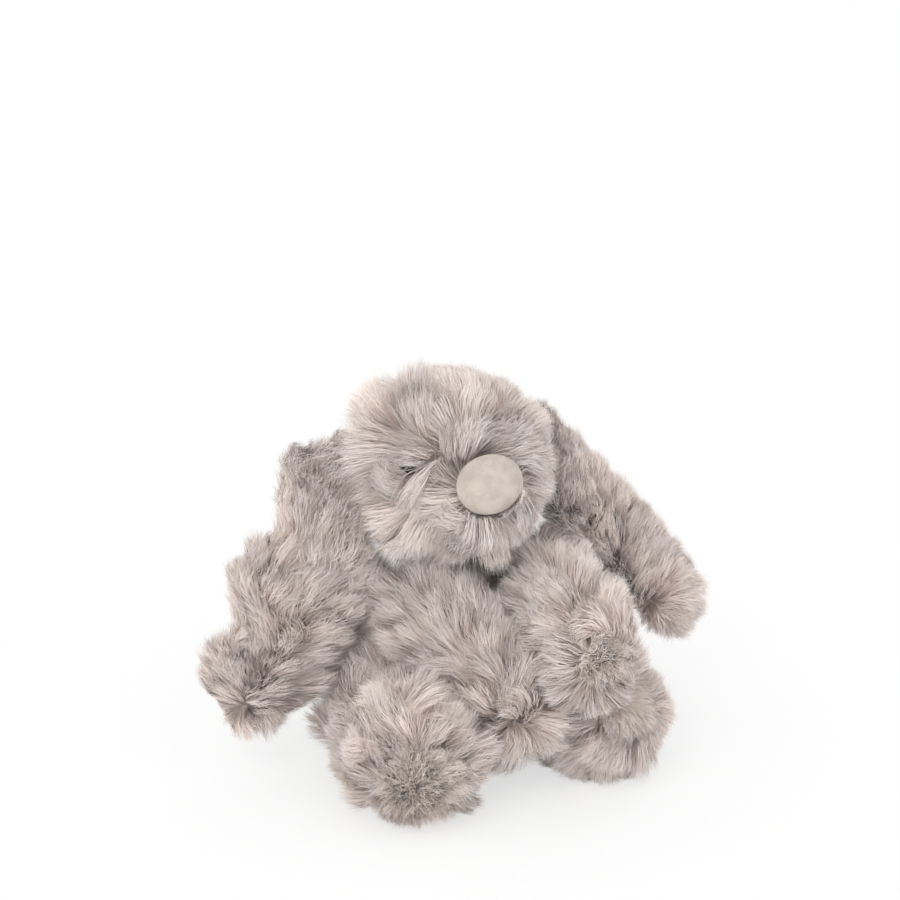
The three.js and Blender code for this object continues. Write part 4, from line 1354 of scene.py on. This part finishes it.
def pile_mesh(name, hairs):
    """Each hair is a ribbon of two four-sided faces and a pointed tip."""
    points, normal, count = hairs["points"], hairs["normal"], len(hairs["points"])
    half_width = hairs["side"][:, :3] * (HAIR_WIDTH / 2 * HAIR_TAPER)[None, :, None]
    corners = ribboned(points[:, :3], points[:, 3], half_width)
    loops = RIBBON_CORNERS * np.arange(count)[:, None] + RIBBON
    starts = len(RIBBON) * np.arange(count)[:, None] + FACES_START
    mesh = bare_mesh(name, corners.reshape(-1, 3), loops.ravel(), starts.ravel())
    shading = ribboned(normal[:, :3], normal[:, 3])
    normals = mesh.attributes.new("custom_normal", "FLOAT_VECTOR", "POINT")
    normals.data.foreach_set("vector", shading.astype(np.float32).ravel())

    tone, paleness = hairs["tone"][:, None], hairs["paleness"][:, None]
    colour = ROOT_COLOUR + (TIP_COLOUR - ROOT_COLOUR) * (paleness + (1 - paleness) * HAIR_NODES[:3])
    at_edges = np.stack([np.broadcast_to(tone, colour.shape), colour], -1)
    at_tip = np.stack([tone[:, 0], np.full(count, TIP_COLOUR)], -1)
    places = ribboned(at_edges, at_tip, np.array([TONE_STRIP / 2, 0]))
    layer = mesh.uv_layers.new(name="OFBake")
    layer.data.foreach_set("uv", places.reshape(-1, 2)[loops.ravel()].astype(np.float32).ravel())
    return mesh


print("hairs are", round(HAIR_WIDTH / MM, 2), "mm wide")

# %% Pile pieces
FACE_FROM, PAW_FROM, FOOT_TO = 6 * MM, 0.6, -45 * MM


def add_pile(name, hairs, chosen, body):
    """Adds the chosen hairs of a form as a piece of a body."""
    hairs = {key: values[chosen] for key, values in hairs.items()}
    piece(name, pile_mesh(name, hairs), body, pile)
    count = len(hairs["points"])
    print(name, "has", count, "hairs and", RIBBON_TRIANGLES * count, "triangles")


def join_piles(names):
    """The hairs of several forms as one."""
    return {key: np.concatenate([PILES[name][key] for name in names]) for key in PILES[names[0]]}


head_pile = join_piles(["head", "muzzle"])
from_head = head_pile["root"] - HEAD_MIDDLE
on_right = from_head @ face_side < 0
in_front = from_head @ face_forwards > FACE_FROM
above = from_head @ face_up > 0
add_pile("face_right_pile", head_pile, in_front & on_right, "head")
add_pile("face_left_pile", head_pile, in_front & ~on_right, "head")
add_pile("crown_pile", head_pile, ~in_front & above, "head")
add_pile("nape_pile", head_pile, ~in_front & ~above, "head")
for side in ("right", "left"):
    leg, ear, arm = (PILES[f"{side}_{limb}"] for limb in ("leg", "ear", "arm"))
    _, _, ear_face = FORMS[f"{side}_ear"].axes(np.full(len(ear["root"]), 0.5))
    behind = (ear["normal"][:, 0] * ear_face).sum(-1) > 0
    on_paw = arm["root"][:, 1] < FORMS[f"{side}_arm"].middle(PAW_FROM)[1]
    at_foot = leg["root"][:, 1] < FOOT_TO
    add_pile(f"{side}_ear_front_pile", ear, ~behind, f"{side}_ear")
    add_pile(f"{side}_ear_back_pile", ear, behind, f"{side}_ear")
    add_pile(f"{side}_paw_pile", arm, on_paw, f"{side}_arm")
    add_pile(f"{side}_arm_pile", arm, ~on_paw, f"{side}_arm")
    add_pile(f"{side}_foot_pile", leg, at_foot, f"{side}_leg")
    add_pile(f"{side}_leg_pile", leg, ~at_foot, f"{side}_leg")
torso_pile = PILES["torso"]
at_back = torso_pile["root"][:, 1] > 0
at_right = torso_pile["root"][:, 0] < 0
for side, here in (("right", at_right), ("left", ~at_right)):
    add_pile(f"{side}_chest_pile", torso_pile, ~at_back & here, "torso")
    add_pile(f"{side}_back_pile", torso_pile, at_back & here, "torso")
add_pile("tail_pile", PILES["tail"], np.ones(len(PILES["tail"]["root"]), bool), "tail")

# %% [markdown]
# # The backing cloth
#
# Under the pile is the knitted backing that the hair is rooted in. It is what gives each bag its shape, so
# it is modelled as a closed skin just under the roots. It is seen only in the depths between locks.

# %% Backing cloth
def noise_finish(name, roughness, scale, detail, *stops, bump=None, **settings):
    """A material whose tone follows one fine noise, and so does its height where it has a bump."""
    made, tree, shader = material_of(name, roughness, **settings)
    place = node(tree, "ShaderNodeTexCoord")
    noise = node(tree, "ShaderNodeTexNoise", Scale=scale, Detail=detail)
    tone = ramp(tree, *stops)
    link(tree, place.outputs["Object"], noise.inputs["Vector"])
    link(tree, noise.outputs["Fac"], tone.inputs["Fac"])
    link(tree, tone.outputs["Color"], shader.inputs["Base Color"])
    if bump is not None:
        raised = node(tree, "ShaderNodeBump", Strength=bump[0], Distance=bump[1])
        link(tree, noise.outputs["Fac"], raised.inputs["Height"])
        link(tree, raised.outputs["Normal"], shader.inputs["Normal"])
    return made


backing = noise_finish(
    "backing cloth", 0.95, 900.0, 3.0,
    (0.3, (0.40, 0.345, 0.315, 1)), (0.7, (0.52, 0.455, 0.42, 1)), bump=(0.3, 0.0004),
)
CLOTH_ROWS, CLOTH_COLUMNS = 40, 48
CLOTHS = {  # the body that each rides on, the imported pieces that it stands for, and how full it is
    "torso": ("torso", ["torso_pelt"], 0.8),
    "head": ("head", ["head_pelt"], 0.9),
    "muzzle": ("head", [], 0.9),
    "right_ear": ("right_ear", ["right_ear_front_panel", "right_ear_back_panel"], 0.05),
    "left_ear": ("left_ear", ["left_ear_front_panel", "left_ear_back_panel"], 0.05),
    "right_arm": ("right_arm", ["right_arm_pelt"], 0.6),
    "left_arm": ("left_arm", ["left_arm_pelt"], 0.6),
    "right_leg": ("right_leg", ["right_leg_pelt"], 0.7),
    "left_leg": ("left_leg", ["left_leg_pelt"], 0.7),
    "tail": ("tail", ["tail_pelt"], 0.7),
}
for name, (body, nodes, fill) in CLOTHS.items():
    corners, triangles = skin(FORMS[name], PELTS[name]["backing"], CLOTH_ROWS, CLOTH_COLUMNS)
    corners = waved(name, corners)
    corners[:, 2] = np.maximum(corners[:, 2], GROUND_GAP)
    piece(f"{name}_cloth", mesh_of(name, corners, triangles), body, backing, nodes)
print("cloths:", len(CLOTHS))

# %% [markdown]
# # The nose
#
# The nose is a small cushion of short velour, cut as an oval and sewn on over a bit of wadding. The stitches
# pull its edge in, so it has a fine puckered rim. Velour is a pile too, but so short that a bump and a sheen
# show it better than hairs would.

# %% Velour
VELOUR_DARK, VELOUR_PALE = (0.50, 0.440, 0.385, 1), (0.66, 0.590, 0.520, 1)
VELOUR_FINE_SHARE = 0.45

velour, velour_tree, velour_shader = material_of(
    "cream velour", 0.92, Sheen_Weight=0.25, Sheen_Roughness=0.4, Specular_IOR_Level=0.2
)
velour_place = node(velour_tree, "ShaderNodeTexCoord")
velour_patches = node(velour_tree, "ShaderNodeTexNoise", Scale=140.0, Detail=4.0)
velour_pile = node(velour_tree, "ShaderNodeTexNoise", Scale=2600.0, Detail=2.0)
velour_both = node(velour_tree, "ShaderNodeMath", operation="ADD")
velour_fine = node(velour_tree, "ShaderNodeMath", operation="MULTIPLY")
velour_fine.inputs[1].default_value = VELOUR_FINE_SHARE
velour_tone = ramp(velour_tree, (0.45, VELOUR_DARK), (0.95, VELOUR_PALE))
velour_bump = node(velour_tree, "ShaderNodeBump", Strength=0.35, Distance=0.0003)
link(velour_tree, velour_place.outputs["Object"], velour_patches.inputs["Vector"])
link(velour_tree, velour_place.outputs["Object"], velour_pile.inputs["Vector"])
link(velour_tree, velour_pile.outputs["Fac"], velour_fine.inputs[0])
link(velour_tree, velour_patches.outputs["Fac"], velour_both.inputs[0])
link(velour_tree, velour_fine.outputs[0], velour_both.inputs[1])
link(velour_tree, velour_both.outputs[0], velour_tone.inputs["Fac"])
link(velour_tree, velour_tone.outputs["Color"], velour_shader.inputs["Base Color"])
link(velour_tree, velour_pile.outputs["Fac"], velour_bump.inputs["Height"])
link(velour_tree, velour_bump.outputs["Normal"], velour_shader.inputs["Normal"])
print("velour sheen:", velour_shader.inputs["Sheen Weight"].default_value)

# %% Nose
NOSE_WIDTH, NOSE_HEIGHT, NOSE_DEPTH = 36 * MM, 31 * MM, 17 * MM
NOSE_RINGS, NOSE_COLUMNS, NOSE_FILL = 36, 160, 0.9
NOSE_FLATTENED, NOSE_FRONT_ZONE = 0.10, (0.2, 1.2)
STITCHES, RIM_TURN, RIM_SPREAD = 40, 1.75, 0.16  # the rim lies just behind the widest ring
RIM_DEPTH, PUCKER_DEPTH = 0.9 * MM, 0.55 * MM

nose_turn = np.linspace(0, math.pi, NOSE_RINGS + 2)[1:-1]  # 0 is the middle of the front
nose_angle = np.linspace(0, 2 * math.pi, NOSE_COLUMNS, endpoint=False)
turn, angle = np.repeat(nose_turn, NOSE_COLUMNS), np.tile(nose_angle, NOSE_RINGS)
rim = np.exp(-((turn - RIM_TURN) / RIM_SPREAD) ** 2)
pucker = PUCKER_DEPTH * rim * (0.5 + 0.5 * np.cos(STITCHES * angle))
flat_front = 1 - NOSE_FLATTENED * (1 - smoothstep(*NOSE_FRONT_ZONE, turn))
wide = np.sin(turn) * (NOSE_WIDTH / 2 - RIM_DEPTH * rim) - pucker
high = np.sin(turn) * (NOSE_HEIGHT / 2 - RIM_DEPTH * rim) - pucker
rings = (
    NOSE_MIDDLE
    + (np.cos(angle) * wide)[:, None] * face_side
    + (np.sin(angle) * high)[:, None] * face_up
    + (np.cos(turn) * flat_front * NOSE_DEPTH / 2)[:, None] * face_forwards
)
poles = np.array([
    NOSE_MIDDLE + (1 - NOSE_FLATTENED) * NOSE_DEPTH / 2 * face_forwards,
    NOSE_MIDDLE - NOSE_DEPTH / 2 * face_forwards,
])
corners = np.vstack([rings, poles])
triangles = outwards(corners, closed(NOSE_RINGS, NOSE_COLUMNS))
piece("nose", mesh_of("nose", corners, triangles), "head", velour, ["nose_cover"])
print("nose triangles:", len(triangles))

# %% [markdown]
# # Eyes and washers
#
# A safety eye is a dome of dark plastic on a stem. The stem goes through the backing, and a washer pressed
# on from inside locks it. The pile hides nearly all of it here: only a glint shows where the hair parts.
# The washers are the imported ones, which only need their plastic. The eyes are turned round their own line,
# from the dome over the rim to the stem, as on a lathe.

# %% Plastics
gloss = noise_finish(
    "eye gloss", 0.09, 420.0, 3.0,
    (0.3, (0.012, 0.008, 0.006, 1)), (0.75, (0.030, 0.020, 0.015, 1)), Coat_Weight=0.6, Coat_Roughness=0.05,
)
plastic = noise_finish(
    "washer plastic", 0.42, 600.0, 5.0,
    (0.3, (0.70, 0.70, 0.67, 1)), (0.7, (0.80, 0.80, 0.77, 1)), bump=(0.2, 0.0001),
)
for side in ("right", "left"):
    frame["nodes"][f"{side}_eye_washer"].material_slots[0].material = plastic
print("washers in", plastic.name)

# %% Eyes
EYE_TURN, EYE_RISE = math.radians(56), math.radians(11)
EYE_DIAMETER, EYE_DOME, STEM_DIAMETER, STEM_LENGTH = 12 * MM, 5 * MM, 4 * MM, 7 * MM
EYE_COLUMNS, DOME_RINGS = 48, 15
EYE_BACK, EYE_BEVEL = np.array([0.6, 0.9, 1.0]) * MM, 0.4 * MM  # how deep the rings behind the dome lie


def eye_mesh(foot, out):
    """A safety eye whose dome starts at a foot and points out."""
    dome = np.linspace(0, math.pi / 2, DOME_RINGS + 1)[1:]
    wide = [EYE_DIAMETER / 2, EYE_DIAMETER / 2 - EYE_BEVEL, STEM_DIAMETER / 2, STEM_DIAMETER / 2]
    reach = np.concatenate([EYE_DOME * np.cos(dome), -EYE_BACK, [-STEM_LENGTH]])
    size = np.concatenate([EYE_DIAMETER / 2 * np.sin(dome), wide])
    across = unit(np.cross(out, face_up))
    up = np.cross(across, out)
    angle = np.linspace(0, 2 * math.pi, EYE_COLUMNS, endpoint=False)
    rings = foot + (
        reach[:, None, None] * out
        + size[:, None, None] * (np.cos(angle)[:, None] * across + np.sin(angle)[:, None] * up)
    )
    poles = np.array([foot + EYE_DOME * out, foot - STEM_LENGTH * out])
    corners = np.vstack([rings.reshape(-1, 3), poles])
    return mesh_of("eye", corners, outwards(corners, closed(len(reach), EYE_COLUMNS)))


for sign, side in ((-1, "right"), (1, "left")):
    flat = np.array([
        sign * math.sin(EYE_TURN) * math.cos(EYE_RISE),
        math.cos(EYE_TURN) * math.cos(EYE_RISE),
        math.sin(EYE_RISE),
    ])
    out = flat[0] * face_side + flat[1] * face_forwards + flat[2] * face_up
    skin_reach = 1 / np.linalg.norm(flat / (np.array([HEAD_WIDTH, HEAD_DEPTH, HEAD_HEIGHT]) / 2))
    foot = HEAD_MIDDLE + (skin_reach - PILE_DEPTH) * out
    piece(f"{side}_safety_eye", eye_mesh(foot, out), "head", gloss, [f"{side}_eye"])
    print(side, "eye at", np.round(foot / MM, 1), "mm")

# %% [markdown]
# # Filling
#
# Inside each bag is a lump of polyester wadding. Nothing of it shows until the toy is cut open. It keeps the
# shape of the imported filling, rounded off by a remesh and a smooth, and drawn in here and there as wadding
# is. A cloth simulation would change nothing that anyone can see in it.

# %% Filling
WADDING_VOXEL, FINE_VOXEL = 4 * MM, 1.5 * MM
SMOOTHINGS = 4
DENT, DENT_MOST, DENT_SCALE = 0.9 * MM, 1.2 * MM, 16 * MM

wadding = noise_finish(
    "polyester wadding", 0.95, 260.0, 8.0,
    (0.3, (0.66, 0.66, 0.65, 1)), (0.7, (0.84, 0.84, 0.83, 1)), bump=(0.6, 0.0015), Sheen_Weight=0.2,
)


def vectors_of(items, key):
    """A vector of each item of a mesh, as one array."""
    values = np.empty(3 * len(items), np.float32)
    items.foreach_get(key, values)
    return values.reshape(-1, 3).astype(float)


def wadding_mesh(node_name, voxel):
    """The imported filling, remeshed and smoothed, with shallow dents so that it stays in its space."""
    source = added("filling", frame["nodes"][node_name].data.copy())
    remesh = source.modifiers.new("remesh", "REMESH")
    remesh.mode, remesh.voxel_size = "VOXEL", voxel
    source.modifiers.new("smooth", "SMOOTH").iterations = SMOOTHINGS
    graph = bpy.context.evaluated_depsgraph_get()
    mesh = bpy.data.meshes.new_from_object(source.evaluated_get(graph))
    bpy.data.objects.remove(source)
    corners, normals = vectors_of(mesh.vertices, "co"), vectors_of(mesh.vertex_normals, "vector")
    dent = DENT * (0.5 + 0.5 * slow_noise(corners, DENT_SCALE, seeded(node_name)))
    corners -= np.clip(dent, 0, DENT_MOST)[:, None] * normals
    mesh.vertices.foreach_set("co", corners.astype(np.float32).ravel())
    mesh.polygons.foreach_set("use_smooth", np.ones(len(mesh.polygons), bool))
    mesh.update()
    return mesh


FILLINGS = {  # the body that each rides on, how full it is, and how finely it is remeshed
    "torso_stuffing": ("torso", 0.8, WADDING_VOXEL),
    "head_stuffing": ("head", 0.9, WADDING_VOXEL),
    "nose_wadding": ("head", 0.8, FINE_VOXEL),
    "right_arm_stuffing": ("right_arm", 0.6, WADDING_VOXEL),
    "left_arm_stuffing": ("left_arm", 0.6, WADDING_VOXEL),
    "right_leg_stuffing": ("right_leg", 0.7, WADDING_VOXEL),
    "left_leg_stuffing": ("left_leg", 0.7, WADDING_VOXEL),
    "tail_stuffing": ("tail", 0.7, FINE_VOXEL),
}
for node_name, (body, fill, voxel) in FILLINGS.items():
    mesh = wadding_mesh(node_name, voxel)
    piece(f"{node_name}_lump", mesh, body, wadding, [node_name])
    print(node_name, "has", len(mesh.vertices), "corners")

# %% [markdown]
# # Pellet pouches
#
# Small cloth pouches of plastic pellets weigh the seat and the feet down. A pouch is a flat bag with a sewn
# edge at its waist, and the pellets press their round marks into the cloth from inside. So its skin dips
# between the pellets that lie under it: each spot's dip follows how far the nearest pellet is.

# %% Pellet pouches
PELLET, PELLETS_FOR_AREA, PELLET_DIP = 3.2 * MM, 14, 0.9 * MM
POUCH_ROWS, POUCH_COLUMNS, POUCH_FILL = 46, 96, 0.7
SEAM_SPREAD, SEAM_SIDE, SEAM_INSET, POLE_INSET = 0.09, 0.35, 0.5 * MM, 0.3 * MM

pouch_cloth = noise_finish(
    "pouch cloth", 0.85, 1800.0, 2.0,
    (0.35, (0.60, 0.60, 0.58, 1)), (0.65, (0.72, 0.72, 0.70, 1)), bump=(0.4, 0.0003),
)


def pouch_mesh(node_name, rng):
    """A flat bag with a sewn edge at its waist. The pellets inside press their round marks into it."""
    low, high = (np.array(corner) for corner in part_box(node_name))
    middle, half = (low + high) / 2, (high - low) / 2
    rise = np.linspace(math.pi / 2, -math.pi / 2, POUCH_ROWS + 2)[1:-1]
    around = 2 * math.pi * (np.arange(POUCH_COLUMNS) / POUCH_COLUMNS)
    rise, angle = np.repeat(rise, POUCH_COLUMNS), np.tile(around, POUCH_ROWS)
    out = np.stack([np.cos(rise) * np.cos(angle), np.cos(rise) * np.sin(angle), np.sin(rise)], -1)
    pellets = int(PELLETS_FOR_AREA * half[0] * half[1] / PELLET ** 2)
    tree = tree_of(unit(rng.normal(size=(pellets, 3))) * half)
    gap = np.array([tree.find(place)[2] for place in out * half])
    dent = PELLET_DIP * np.minimum(1, (gap / PELLET) ** 2)
    waist = np.exp(-(rise / SEAM_SPREAD) ** 2)
    inset = np.where(waist > 0.5, 0, dent) + SEAM_INSET * (1 - waist) * (np.abs(rise) < SEAM_SIDE)
    to_pole = np.array([0, 0, half[2] - POLE_INSET])
    corners = np.vstack([middle + out * (half - inset[:, None]), middle + to_pole, middle - to_pole])
    return mesh_of(node_name, corners, outwards(corners, closed(POUCH_ROWS, POUCH_COLUMNS)))


POUCHES = {
    "seat_pellet_pouch": "torso",
    "right_foot_pellet_pouch": "right_leg",
    "left_foot_pellet_pouch": "left_leg",
}
for node_name, body in POUCHES.items():
    mesh = pouch_mesh(node_name, seeded(node_name))
    piece(f"{node_name}_bag", mesh, body, pouch_cloth, [node_name])
    print(node_name, "has", len(mesh.polygons), "triangles")
